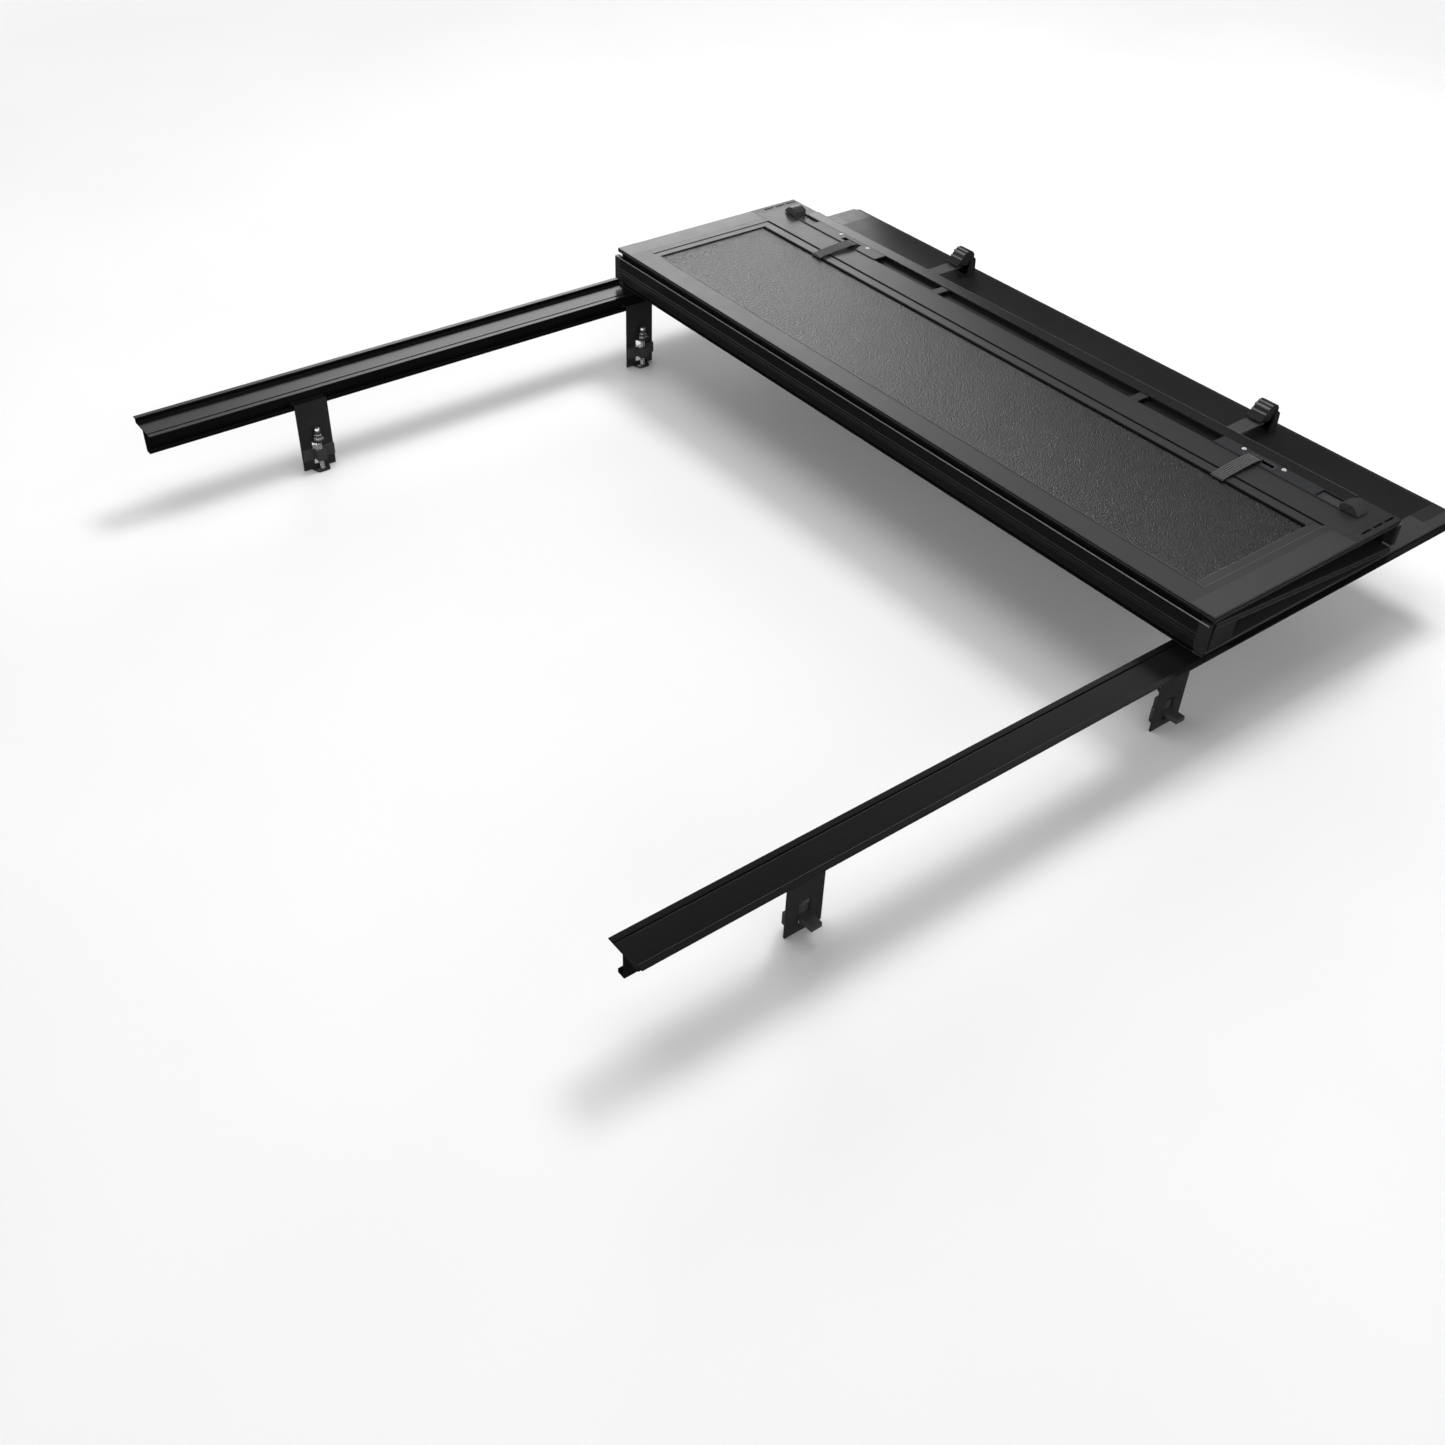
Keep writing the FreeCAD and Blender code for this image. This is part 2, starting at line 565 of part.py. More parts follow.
# ------------------------------------------------------- slam latches
class Latch:
    """Right-hand latch over a channel. Distances across run inwards from the
    channel centre, heights outwards from the frame's underside face."""

    def __init__(self, edge, channel):
        self.edge = edge
        self.panel = edge.panel
        self.centre = sum(channel) / 2

    def y(self, across):
        return self.edge.at(self.centre + across)

    def z(self, height):
        return self.panel.z(PANEL_T + height)

    def block(self, x_lo, x_hi, start, end, low, high):
        return box(x_lo, x_hi, self.y(start), self.y(end), self.z(low), self.z(high))

    def prism(self, points, x_lo, x_hi):
        return prism_x([(self.y(p[0]), self.z(p[1])) + p[2:] for p in points], x_lo, x_hi)

    def screw_rod(self, x, height, radius, length):
        return rod((x, self.y(LATCH_SCREW_ACROSS), self.z(height)),
                   (0, 0, self.panel.way), radius, length)

    def plate(self):
        """Cover plate with a ridge along its inward edge and a strap slot."""
        plate = self.prism([(-14.7, -1.8), (-14.7, 1.1, 0.3), (12.4, 1.1), (12.8, 1.9, 0.3),
                            (14.7, 1.9, 0.5), (14.7, -1.8)], *PLATE_X)
        plate = cut(plate, self.block(*PLATE_SLOT_X, -6.5, 4.5, -5, 5))
        for x in LATCH_SCREW_X:
            plate = cut(plate, self.screw_rod(x, -4, 2.0, 9))
        return plate

    def screw(self, x):
        """Domed screw with a cross recess."""
        centre = LATCH_SCREW_ACROSS
        arm, thin = SCREW_CROSS, SCREW_CROSS_HALF_T
        head = Part.makeSphere(5.2, vec(x, self.y(centre), self.z(-2.0)))
        head = head.common(self.screw_rod(x, 1.15, 4.2, 6))
        screw = union(head, self.screw_rod(x, -6.75, 1.9, 8.2))
        recess = union(self.block(x - arm, x + arm, centre - thin, centre + thin, 2.2, 6),
                       self.block(x - thin, x + thin, centre - arm, centre + arm, 2.2, 6))
        return cut(screw, recess)

    def bolt(self):
        """Slider under the plate, its cross pin, and the wedge above the frame face."""
        centre_y = self.y(0)
        wedge = prism_y([(p[0], self.z(p[1])) + p[2:] for p in BOLT_WEDGE],
                        centre_y - BOLT_HALF_W, centre_y + BOLT_HALF_W)
        tongue = self.block(592, 645, -12.5, 12.5, BOLT_BOTTOM, -2.4)
        shank = self.block(548, 600, *SHANK_ACROSS, BOLT_BOTTOM, -2.6)
        eye = self.block(540, 549, *SHANK_ACROSS, BOLT_BOTTOM, -2.6)
        pin = rod((481, self.y(-0.5), self.z(-4.6)), ALONG_X, 1.7, 62)
        return union(tongue, wedge, shank, eye, pin)

    def strap(self):
        """Flat webbing laid over the frame towards the panel centre."""
        path = [(across, height, STRAP_T) for across, height in STRAP_PATH]
        return self.prism(band_outline(path, 1), *STRAP_X)


def latches():
    pieces = {}
    for name, latch in (("mid", Latch(MID_CAB, MID_CHANNEL)),
                        ("rear", Latch(REAR_TAIL, REAR_CHANNEL))):
        panel = latch.panel
        bolt = latch.bolt()
        screws = [latch.screw(x) for x in LATCH_SCREW_X]
        pieces[name + "_latch_plates"] = panel.both_sides(latch.plate())
        pieces[name + "_latch_screws"] = panel.both_sides(*screws)
        pieces[name + "_latch_bolt_right"] = panel.place(bolt)
        pieces[name + "_latch_bolt_left"] = panel.place(mirror(bolt))
        pieces[name + "_pull_straps"] = panel.both_sides(latch.strap())
    return pieces


# ------------------------------------------------------- side rails
def bulkhead_seal():
    tail = FRONT_EDGE_Y + GAP
    return prism_x([(tail, -7.0), (tail, 2.5, 0.5), (-2.0, 2.5, 1.0), (0.0, 1.0),
                    (0.0, -10.0, 2.0), (tail, -12.0, 1.0)], -HALF_W + 2, HALF_W - 2)


def anchor_clip():
    """Clip that ties the front panel to the rail ledge from below."""
    span_y = (ANCHOR_Y - ANCHOR_HALF, ANCHOR_Y + ANCHOR_HALF)
    clip = union(box(644.5, 661.0, *span_y, ANCHOR_Z, FRONT.z(PANEL_T) - GAP),
                 box(660.5, 688, *span_y, ANCHOR_Z, LEDGE_BOTTOM - 0.1))
    return cut(clip, rod((ANCHOR_X, ANCHOR_Y, ANCHOR_Z - 1), UP, ANCHOR_HOLE_R, 8))


def anchor_screw():
    head_h = 3.0
    head_base = vec(ANCHOR_X, ANCHOR_Y, ANCHOR_Z - GAP - head_h)
    return union(Part.makeCone(4.0, 5.2, head_h, head_base, vec(*UP)),
                 rod((ANCHOR_X, ANCHOR_Y, ANCHOR_Z - 0.1), UP, 2.5, 10.3))


def side_rails():
    rail = prism_y(RAIL_SECTION, *RAIL_Y)
    return {"side_rail_right": rail,
            "side_rail_left": mirror(rail),
            "bulkhead_seal": bulkhead_seal(),
            "front_anchor_clips": both_sides(anchor_clip()),
            "front_anchor_screws": both_sides(anchor_screw())}


# ------------------------------------------------------- stow clips
def clip_base():
    """Foot on the front skin with two ears and the pin between them."""
    base = box(CLIP_X - CLIP_HALF, CLIP_X + CLIP_HALF, PIN_Y - 13, PIN_Y + 9,
               FRONT_SKIN_Z + 0.02, FRONT_SKIN_Z + 2.8)
    ear_z = FRONT_SKIN_Z + 2.0
    ear = [(PIN_Y - 12, ear_z), (PIN_Y + 8, ear_z), (PIN_Y + 5.8, PIN_Z, 3.0),
           (PIN_Y, PIN_Z + 6.0, 4.0), (PIN_Y - 6.5, PIN_Z, 3.0)]
    for start, end in ((-CLIP_HALF, -EAR_IN), (EAR_IN, CLIP_HALF)):
        base = union(base, prism_x(ear, CLIP_X + start, CLIP_X + end))
    return union(base, rod((CLIP_X - 17, PIN_Y, PIN_Z), ALONG_X, PIN_R, 34))


def clip_lever():
    """Arched band with a hub round the pin, a cheek on each side and a post."""
    left, width = CLIP_X - LEVER_HALF, 2 * LEVER_HALF
    path = [(PIN_Y + y, z, thickness) for y, z, thickness in LEVER_PATH]
    lever = prism_x(band_outline(path, -1), left, CLIP_X + LEVER_HALF)
    cheek = [point[:2] for point in path[:9]] + [(PIN_Y + y, z) for y, z in CHEEK_LOWER]
    for start, end in ((-LEVER_HALF, -CHEEK_IN), (CHEEK_IN, LEVER_HALF)):
        lever = union(lever, prism_x(cheek, CLIP_X + start, CLIP_X + end))
    for y, z, radius in LEVER_RIBS:
        lever = union(lever, rod((left, PIN_Y + y, z), ALONG_X, radius, width))
    lever = union(lever, rod((left, PIN_Y, PIN_Z), ALONG_X, 4.6, width))
    lever = cut(lever, rod((CLIP_X - 20, PIN_Y, PIN_Z), ALONG_X, PIN_HOLE_R, 40))
    # clear the space of the draw tongue, then stand the post above it
    lever = cut(lever, box(CLIP_X - 16, CLIP_X + 16, -75, -55, 15, 26.85))
    return union(lever, box(CLIP_X - 6, CLIP_X + 6, -64.5, -60.5, 26.86, 34.5))


def clip_tongue():
    """Flat draw tongue from the lever to the folded stack."""
    return prism_x([(-60.0, 24.3), (-60.0, 26.7, 0.8), (-172.0, 25.0, 0.8),
                    (-172.0, 22.6, 0.8)], CLIP_X - 14.5, CLIP_X + 14.5)


def stow_clips():
    lever, tongue = clip_lever(), clip_tongue()
    return {"stow_clip_bases": both_sides(clip_base()),
            "stow_clip_lever_right": lever,
            "stow_clip_lever_left": mirror(lever),
            "stow_clip_tongue_right": tongue,
            "stow_clip_tongue_left": mirror(tongue)}


# ------------------------------------------------------- rail clamps
def clamp_rod(y, z, radius, length):
    return rod((CLAMP_BOLT_X, y, z), UP, radius, length)


def clamp_bracket(y):
    """Slotted plate with a hook at the top, a pointed tab and a bottom lip."""
    bottom, top = BRACKET_Z
    span_y = (y - CLAMP_HALF, y + CLAMP_HALF)
    plate = box(*BRACKET_X, *span_y, bottom, top)
    plate = cut(plate, box(660, 680, y - 9, y + 9, -156, -112))
    hook = union(box(BRACKET_X[0], HOOK_X[1], *span_y, top - BRACKET_T, top),
                 box(*HOOK_X, *span_y, -45.4, -35.5))
    tab = prism_z([(673, y - 15), (673, y + 15), (656, y + 12, 6.0), (651, y),
                   (656, y - 12, 6.0)], TAB_TOP - BRACKET_T, TAB_TOP)
    tab = cut(tab, clamp_rod(y, TAB_TOP - 5, CLAMP_HOLE_R, 8))
    lip = prism_z([(673, y - 17), (673, y + 17), (654, y + 11, 5.0), (654, y - 11, 5.0)],
                  bottom, bottom + BRACKET_T)
    lip = cut(lip, clamp_rod(y, bottom - 2, CLAMP_HOLE_R, 8))
    return union(plate, hook, tab, lip)


def clamp_washer(y):
    return cut(clamp_rod(y, TAB_TOP + GAP, 9.0, WASHER_T),
               clamp_rod(y, TAB_TOP - 1, CLAMP_HOLE_R, 4))


def clamp_screw(y):
    """Acorn-head bolt, head up."""
    angles = [math.radians(60 * i + 30) for i in range(6)]
    hexagon = prism_z([(CLAMP_BOLT_X + HEAD_R * math.cos(angle), y + HEAD_R * math.sin(angle))
                       for angle in angles], TAB_TOP + WASHER_T + 2 * GAP, HEAD_TOP)
    dome_z, dome_h = HEAD_TOP - 0.2, 8.0
    dome = union(clamp_rod(y, dome_z, DOME_R, dome_h),
                 Part.makeSphere(DOME_R, vec(CLAMP_BOLT_X, y, dome_z + dome_h)))
    return union(hexagon, dome, clamp_rod(y, -162.5, THREAD_R, 62.0))


def clamp_jaw(y):
    narrow = (y - JAW_HALF, y + JAW_HALF)
    jaw = union(box(654, 671.7, *narrow, *JAW_Z),
                box(666, 671.7, y - 29, y + 29, *JAW_Z),
                box(671, 700, *narrow, JAW_Z[0], JAW_Z[0] + 8))
    return cut(jaw, clamp_rod(y, JAW_Z[0] - 2, 4.08, 25))


def rail_clamps():
    places = [y for _, y in CLAMPS]
    pieces = {"clamp_brackets": both_sides(*[clamp_bracket(y) for y in places]),
              "clamp_washers": both_sides(*[clamp_washer(y) for y in places])}
    for name, y in CLAMPS:
        for kind, shape in (("screw", clamp_screw(y)), ("jaw", clamp_jaw(y))):
            pieces["clamp_%s_%s_right" % (kind, name)] = shape
            pieces["clamp_%s_%s_left" % (kind, name)] = mirror(shape)
    return pieces


# ---------------------------------------------------------------- export
os.makedirs("parts", exist_ok=True)
for build in (front_panel, mid_panel, rear_panel, hinge_links, latches, side_rails,
              stow_clips, rail_clamps):
    for piece_name, piece in build().items():
        piece.exportStep("parts/%s.step" % piece_name)
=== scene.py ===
# A folding three-panel cover on two side rails. X runs across the cover (right is +X), Y along
# it (front is +Y) and Z is up. The mid and rear panels lie folded over the front panel: mid on
# top, rear sandwiched between and slightly sloped. Shape dimensions are in millimetres;
# materials, stage, lights and camera are in metres.
import json
import math
import bpy
import bmesh
from mathutils import Matrix, Vector


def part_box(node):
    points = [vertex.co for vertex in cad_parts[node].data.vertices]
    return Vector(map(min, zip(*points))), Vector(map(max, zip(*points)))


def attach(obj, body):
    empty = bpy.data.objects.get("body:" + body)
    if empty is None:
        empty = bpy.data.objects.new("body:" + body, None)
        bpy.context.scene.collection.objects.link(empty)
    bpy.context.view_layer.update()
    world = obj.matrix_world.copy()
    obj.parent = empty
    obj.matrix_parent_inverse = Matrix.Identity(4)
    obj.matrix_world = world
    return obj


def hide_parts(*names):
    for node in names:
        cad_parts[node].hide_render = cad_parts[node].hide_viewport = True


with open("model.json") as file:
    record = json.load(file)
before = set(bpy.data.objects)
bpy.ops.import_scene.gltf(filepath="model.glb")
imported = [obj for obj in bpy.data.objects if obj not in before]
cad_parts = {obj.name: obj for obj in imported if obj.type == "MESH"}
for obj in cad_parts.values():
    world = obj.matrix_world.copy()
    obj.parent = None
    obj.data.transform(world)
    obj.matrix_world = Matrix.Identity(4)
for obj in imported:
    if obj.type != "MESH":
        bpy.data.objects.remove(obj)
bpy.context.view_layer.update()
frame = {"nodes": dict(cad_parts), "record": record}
nodes = frame["nodes"]
slot_of = {s["node"]: s["material_slot"] for s in frame["record"]["subparts"]}

MM = 0.001
SIDES = ("right", "left")

# rear panel: the line it slopes about, and its slope
REAR_PIVOT_Y, REAR_PIVOT_Z = -186.0, 11.5
REAR_SLOPE = math.radians(-4.8)
REAR_END_Y = REAR_PIVOT_Y - 424.0

TRIM_X = 716.6              # half length of the trims that cross the whole cover
GROOVE_X = 716.4            # half length of the tail groove
RIM_X = (716.4, 717.25)     # inner and outer face of the beads on the panel rims
TAIL_Y = -616.8             # tail end of the mid and front rim beads


# ---------------------------------------------------------------- node tools
MATS = {}   # every material made by Mat, by name


class Graph:
    """Adds shader nodes to the emptied tree of a material or world."""

    def __init__(self, owner):
        owner.use_nodes = True
        self.tree = owner.node_tree
        self.tree.nodes.clear()

    def feed(self, socket, value):
        """Link value to the socket if it is a socket itself, else set it."""
        if isinstance(value, bpy.types.NodeSocket):
            self.tree.links.new(value, socket)
        else:
            socket.default_value = value

    def node(self, kind, inputs=None, **settings):
        node = self.tree.nodes.new("ShaderNode" + kind)
        for key, value in settings.items():
            setattr(node, key, value)
        for key, value in (inputs or {}).items():
            self.feed(node.inputs[key], value)
        return node

    def calc(self, operation, a, b=0.0):
        return self.node("Math", {0: a, 1: b}, operation=operation).outputs["Value"]

    def span(self, value, to, over=(0.3, 0.7), curve="LINEAR"):
        """Map the range `over` onto the range `to`."""
        return self.node("MapRange", {
            "From Min": over[0], "From Max": over[1],
            "To Min": to[0], "To Max": to[1], "Value": value,
        }, interpolation_type=curve).outputs["Result"]

    def emission(self, value):
        return self.node("Emission", {"Color": (value, value, value, 1)}).outputs[0]

    def mix(self, factor, a, b):
        return self.node("MixShader", {0: factor, 1: a, 2: b}).outputs[0]


class Mat(Graph):
    """A procedural material in object coordinates (metres)."""

    def __init__(self, name):
        self.material = bpy.data.materials.new(name)
        MATS[name] = self.material
        super().__init__(self.material)
        self.surface = self.node("OutputMaterial").inputs["Surface"]
        self.shader = self.node("BsdfPrincipled")
        self.feed(self.surface, self.shader.outputs["BSDF"])
        self.coords = self.node("TexCoord").outputs["Object"]

    def put(self, socket, value):
        self.feed(self.shader.inputs[socket], value)

    def scaled(self, x, y, z):
        return self.node("Mapping", {"Scale": (x, y, z), "Vector": self.coords}).outputs["Vector"]

    def noise(self, scale, detail=2.0, rough=0.5, coords=None):
        return self.node("TexNoise", {
            "Scale": scale, "Detail": detail, "Roughness": rough,
            "Vector": coords or self.coords,
        }).outputs["Fac"]

    def cells(self, scale, smooth):
        return self.node("TexVoronoi", {
            "Scale": scale, "Smoothness": smooth, "Vector": self.coords,
        }, feature="SMOOTH_F1").outputs["Distance"]

    def colour(self, factor, colours, at=(0.3, 0.7)):
        """Colour ramp; a plain number stands for a grey."""
        node = self.node("ValToRGB", {"Fac": factor})
        stops = node.color_ramp.elements
        while len(stops) < len(colours):
            stops.new(0.5)
        for stop, place, colour in zip(stops, at, colours):
            rgb = colour if isinstance(colour, tuple) else (colour,) * 3
            stop.position = place
            stop.color = (*rgb, 1.0)
        return node.outputs["Color"]

    def bump(self, height, distance, under=None):
        inputs = {"Strength": 1.0, "Distance": distance, "Height": height}
        if under is not None:
            inputs["Normal"] = under
        return self.node("Bump", inputs).outputs["Normal"]

    def rounded(self, radius):
        return self.node("Bevel", {"Radius": radius}, samples=4).outputs["Normal"]


# ----------------------------------------------------------------- materials
# tone: darkest and lightest grey; rough: roughness range; spec: specular level;
# edge: rounding radius of the shaded edges
def powder(name, tone, rough, peel=0.00002, spec=0.5, edge=0.0011):
    """Powder-coated aluminium: slow tone drift, fine orange peel, soft edges."""
    mat = Mat(name)
    mat.put("Base Color", mat.colour(mat.noise(5.0, detail=3.0), tone))
    mat.put("Roughness", mat.span(mat.noise(28.0, detail=4.0), to=rough))
    mat.put("Specular IOR Level", spec)
    normal = mat.rounded(edge)
    normal = mat.bump(mat.noise(620.0, rough=0.6), peel, normal)
    normal = mat.bump(mat.noise(2400.0, detail=1.0), peel * 0.35, normal)
    mat.put("Normal", normal)


def extruded(name, tone, rough, axis="X", spec=0.5, edge=0.0006):
    """Anodised extrusion: faint die lines that run along one axis."""
    mat = Mat(name)
    stretch = {"X": (0.6, 260, 260), "Y": (260, 0.6, 260)}[axis]
    lines = mat.noise(4.0, detail=3.0, rough=0.6, coords=mat.scaled(*stretch))
    drift = mat.calc("MULTIPLY", mat.noise(4.0), mat.span(lines, to=(0.85, 1.15), over=(0, 1)))
    mat.put("Base Color", mat.colour(drift, tone))
    mat.put("Roughness", mat.span(lines, to=rough, over=(0.25, 0.75)))
    mat.put("Specular IOR Level", spec)
    normal = mat.bump(lines, distance=0.000004, under=mat.rounded(edge))
    mat.put("Normal", mat.bump(mat.noise(900.0), distance=0.000006, under=normal))


def moulded(name, tone, rough, grain=0.00002, edge=0.0005, coat=0.0, spec=0.5):
    """Moulded plastic with spark-eroded texture and slight flow marks."""
    mat = Mat(name)
    flow = mat.noise(14.0, detail=3.0, rough=0.6, coords=mat.scaled(1.0, 2.4, 1.0))
    mat.put("Base Color", mat.colour(flow, tone, at=(0.25, 0.75)))
    mat.put("Roughness", mat.span(mat.noise(160.0, detail=3.0), to=rough))
    mat.put("Specular IOR Level", spec)
    if coat:
        mat.put("Coat Weight", coat)
        mat.put("Coat Roughness", 0.08)
    normal = mat.rounded(edge)
    mat.put("Normal", mat.bump(mat.noise(1500.0, detail=3.0, rough=0.65), grain, normal))


def pebble(name):
    """Pebble-grain laminate: packed rounded cells, glossier on their tops, with painted shade in
    the hollows and a painted sheen on the tops.
    """
    mat = Mat(name)
    warp = mat.noise(240.0)
    fine = mat.cells(480.0, smooth=0.45)
    coarse = mat.cells(330.0, smooth=0.45)
    height = mat.calc(
        "ADD", mat.span(fine, to=(1.0, 0.0), over=(0.0, 0.75)),
        mat.calc("MULTIPLY", mat.span(coarse, to=(1.0, 0.0), over=(0.0, 0.8)), 0.6))
    height = mat.calc("ADD", height, mat.calc("MULTIPLY", warp, 0.7))
    # painted shade and sheen: the colour darkens in the hollows between cells and lightens on their
    # tops
    crest = mat.span(height, to=(0.0, 1.0), over=(0.5, 2.0))
    mat.put("Base Color", mat.colour(crest, (0.004, 0.036), at=(0.2, 0.9)))
    mat.put("Roughness", mat.span(height, to=(0.37, 0.24), over=(0.5, 2.0)))
    mat.put("Specular IOR Level", 1.0)
    normal = mat.bump(height, distance=0.00066)
    mat.put("Normal", mat.bump(mat.noise(2600.0), distance=0.00002, under=normal))


def rubber(name, tone=(0.010, 0.020), spec=0.35):
    mat = Mat(name)
    mat.put("Base Color", mat.colour(mat.noise(60.0, detail=4.0), tone))
    mat.put("Roughness", mat.span(mat.noise(220.0, detail=3.0), to=(0.62, 0.82)))
    mat.put("Specular IOR Level", spec)
    grain = mat.noise(1300.0, detail=3.0)
    mat.put("Normal", mat.bump(grain, distance=0.00003, under=mat.rounded(0.0005)))


def plate_finish(name):
    """Anodised latch plate, finely brushed along its length."""
    mat = Mat(name)
    lines = mat.noise(5.0, detail=4.0, rough=0.7, coords=mat.scaled(3.0, 420, 420))
    tone = ((0.015, 0.0155, 0.018), (0.022, 0.023, 0.0265))
    mat.put("Base Color", mat.colour(lines, tone))
    mat.put("Roughness", mat.span(lines, to=(0.30, 0.42)))
    mat.put("Normal", mat.bump(lines, distance=0.000006, under=mat.rounded(0.0005)))


def bright_metal(name, base, rough, scratch, tint=(1, 1, 1), metallic=1.0):
    mat = Mat(name)
    tone = (tuple(base * 0.86 * t for t in tint), tuple(base * t for t in tint))
    mat.put("Base Color", mat.colour(mat.noise(90.0, detail=4.0), tone))
    mat.put("Metallic", metallic)
    mat.put("Roughness", mat.span(mat.noise(350.0, detail=3.0), to=rough))
    mat.put("Normal", mat.bump(mat.noise(1700.0), scratch, mat.rounded(0.0003)))


RIB_PITCH = 4.1     # width of one woven rib of the strap webbing
ROW_PITCH = 0.75    # spacing of the yarn rows along it


def webbing(name):
    """Woven polyester webbing; the ribs are modelled, this adds the yarns and paints shade between
    the ribs.
    """
    mat = Mat(name)
    uv = mat.node("UVMap").outputs["UV"]
    axes = mat.node("SeparateXYZ", {0: uv}).outputs
    along, across = axes["X"], axes["Y"]    # both in millimetres

    def turns(value, pitch):
        return mat.calc("MULTIPLY", value, 2 * math.pi / pitch)

    twill = mat.calc("SINE", mat.calc("ADD", turns(along, 1.5), turns(across, 1.25)))
    rows = mat.calc("SINE", turns(along, ROW_PITCH))
    # painted shade and light: darker in the valleys between the modelled ribs, lighter on their
    # crests
    ribs = mat.calc("ABSOLUTE", mat.calc("SINE", turns(across, 2 * RIB_PITCH)))
    yarn = mat.calc("ADD", mat.calc("MULTIPLY", twill, 0.35), mat.calc("MULTIPLY", rows, 0.15))
    fuzz = mat.calc("MULTIPLY", mat.noise(900.0), 0.3)
    tone = mat.calc("ADD", mat.calc("MULTIPLY", ribs, 0.95), mat.calc("ADD", yarn, fuzz))
    tone = mat.span(tone, to=(0.0, 1.0), over=(0.1, 1.35))
    mat.put("Base Color", mat.colour(tone, (0.003, 0.026, 0.09), at=(0.16, 0.50, 0.88)))
    mat.put("Roughness", 0.72)
    mat.put("Sheen Weight", 0.18)
    mat.put("Sheen Roughness", 0.45)
    mat.put("Specular IOR Level", 0.35)
    normal = mat.bump(yarn, distance=0.00016)
    mat.put("Normal", mat.bump(mat.noise(4200.0), distance=0.00004, under=normal))


# the materials named by the slots
powder("frame_black", tone=(0.021, 0.025), rough=(0.31, 0.35), peel=0.000007, spec=0.40)
powder("skin_black", tone=(0.009, 0.012), rough=(0.36, 0.43), peel=0.00001, spec=0.37)
pebble("grain_board")
moulded("cap_plastic", tone=(0.016, 0.022), rough=(0.36, 0.46))
rubber("seal_rubber")
plate_finish("latch_plate")
moulded("bolt_plastic", tone=(0.022, 0.030), rough=(0.26, 0.34), grain=0.000003, edge=0.0004)
webbing("strap_webbing")
bright_metal("chrome_screw", base=0.97, rough=(0.12, 0.22), scratch=0.000003, metallic=0.6)
extruded("rail_black", tone=(0.0045, 0.0070), rough=(0.19, 0.26), axis="Y", spec=0.28)
moulded("clip_plastic", tone=(0.012, 0.017), rough=(0.13, 0.20), grain=0.000004, edge=0.0006,
        coat=0.9, spec=0.8)
moulded("tongue_plastic", tone=(0.046, 0.056), rough=(0.38, 0.48))
powder("bracket_black", tone=(0.020, 0.027), rough=(0.30, 0.40), edge=0.0009)
bright_metal("zinc_steel", base=0.66, rough=(0.16, 0.30), scratch=0.000006,
             tint=(1.0, 0.995, 0.97))
# further materials for single parts and faces; most of them paint light and shade: dark shade
# fills, lit and shaded copies of the slot finishes and bright highlight trims
rubber("shadow_black", tone=(0.002, 0.004), spec=0.04)
moulded("slider_plastic", tone=(0.034, 0.042), rough=(0.34, 0.42), grain=0.000008, edge=0.0006)
# painted shade: a darker extrusion finish for the hinge links
extruded("link_shaded_black", tone=(0.0035, 0.0060), rough=(0.30, 0.40), spec=0.42, edge=0.0005)
# painted highlight: bright satin for the link top beads and the strap slot rims
extruded("highlight_trim_satin", tone=(0.15, 0.19), rough=(0.26, 0.34), spec=0.9, edge=0.0004)
# painted highlight lines along the panel edges and steps
extruded("edge_highlight_satin", tone=(0.050, 0.065), rough=(0.26, 0.34), spec=0.9, edge=0.0003)
# painted light: a lighter copy of the bracket finish for the clamp jaws
powder("jaw_lit_black", tone=(0.045, 0.060), rough=(0.28, 0.36), edge=0.0009)
# painted light: a lighter copy of the frame finish for strips along the mid panel's sides
powder("side_strip_lit_black", tone=(0.026, 0.031), rough=(0.31, 0.35), peel=0.000007)
# painted shade for the latch channel
powder("channel_shaded_black", tone=(0.0035, 0.0055), rough=(0.34, 0.42), spec=0.22)
# painted highlight on the finger ribs of the stow clip levers
moulded("rib_highlight_plastic", tone=(0.10, 0.13), rough=(0.16, 0.24), grain=0.000004, edge=0.0004,
        coat=0.6, spec=0.8)
extruded("lip_black", tone=(0.014, 0.019), rough=(0.28, 0.36), spec=0.6, edge=0.0004)
# painted light: lighter copies of the frame and cap finishes for the front panel's side frames and
# corner caps
powder("front_side_lit_black", tone=(0.038, 0.045), rough=(0.31, 0.36), peel=0.000007)
moulded("front_cap_lit_black", tone=(0.036, 0.044), rough=(0.32, 0.42))
# painted shade: the latch rail darkened to the shade of the channel beside it
extruded("latch_rail_shaded_black", tone=(0.005, 0.008), rough=(0.19, 0.26), spec=0.38, edge=0.0005)


# ------------------------------------------------------- finish the CAD nodes
def round_edges(piece, width, segments=2, angle=30.0, name="bevel"):
    bevel = piece.modifiers.new(name, "BEVEL")
    bevel.width = width * MM
    bevel.segments = segments
    bevel.limit_method = "ANGLE"
    bevel.angle_limit = math.radians(angle)
    return bevel


def even_normals(piece):
    normals = piece.modifiers.new("normals", "WEIGHTED_NORMAL")
    normals.keep_sharp = True
    return normals


def dress(name, material=None, width=0.35, angle=32.0, segments=2):
    """Give a CAD node its material, smooth shading and softened edges."""
    piece = nodes[name]
    mesh = piece.data
    imported = mesh.attributes.get("custom_normal")
    if imported is not None:
        mesh.attributes.remove(imported)
    for polygon in mesh.polygons:
        polygon.use_smooth = True
    mesh.materials.clear()
    mesh.materials.append(MATS[material or slot_of[name]])
    weld = piece.modifiers.new("weld", "WELD")
    weld.merge_threshold = 2e-6
    planar = piece.modifiers.new("planar", "DECIMATE")
    planar.decimate_type = "DISSOLVE"
    planar.angle_limit = math.radians(0.2)
    round_edges(piece, width, segments, angle).use_clamp_overlap = True
    even_normals(piece).weight = 90


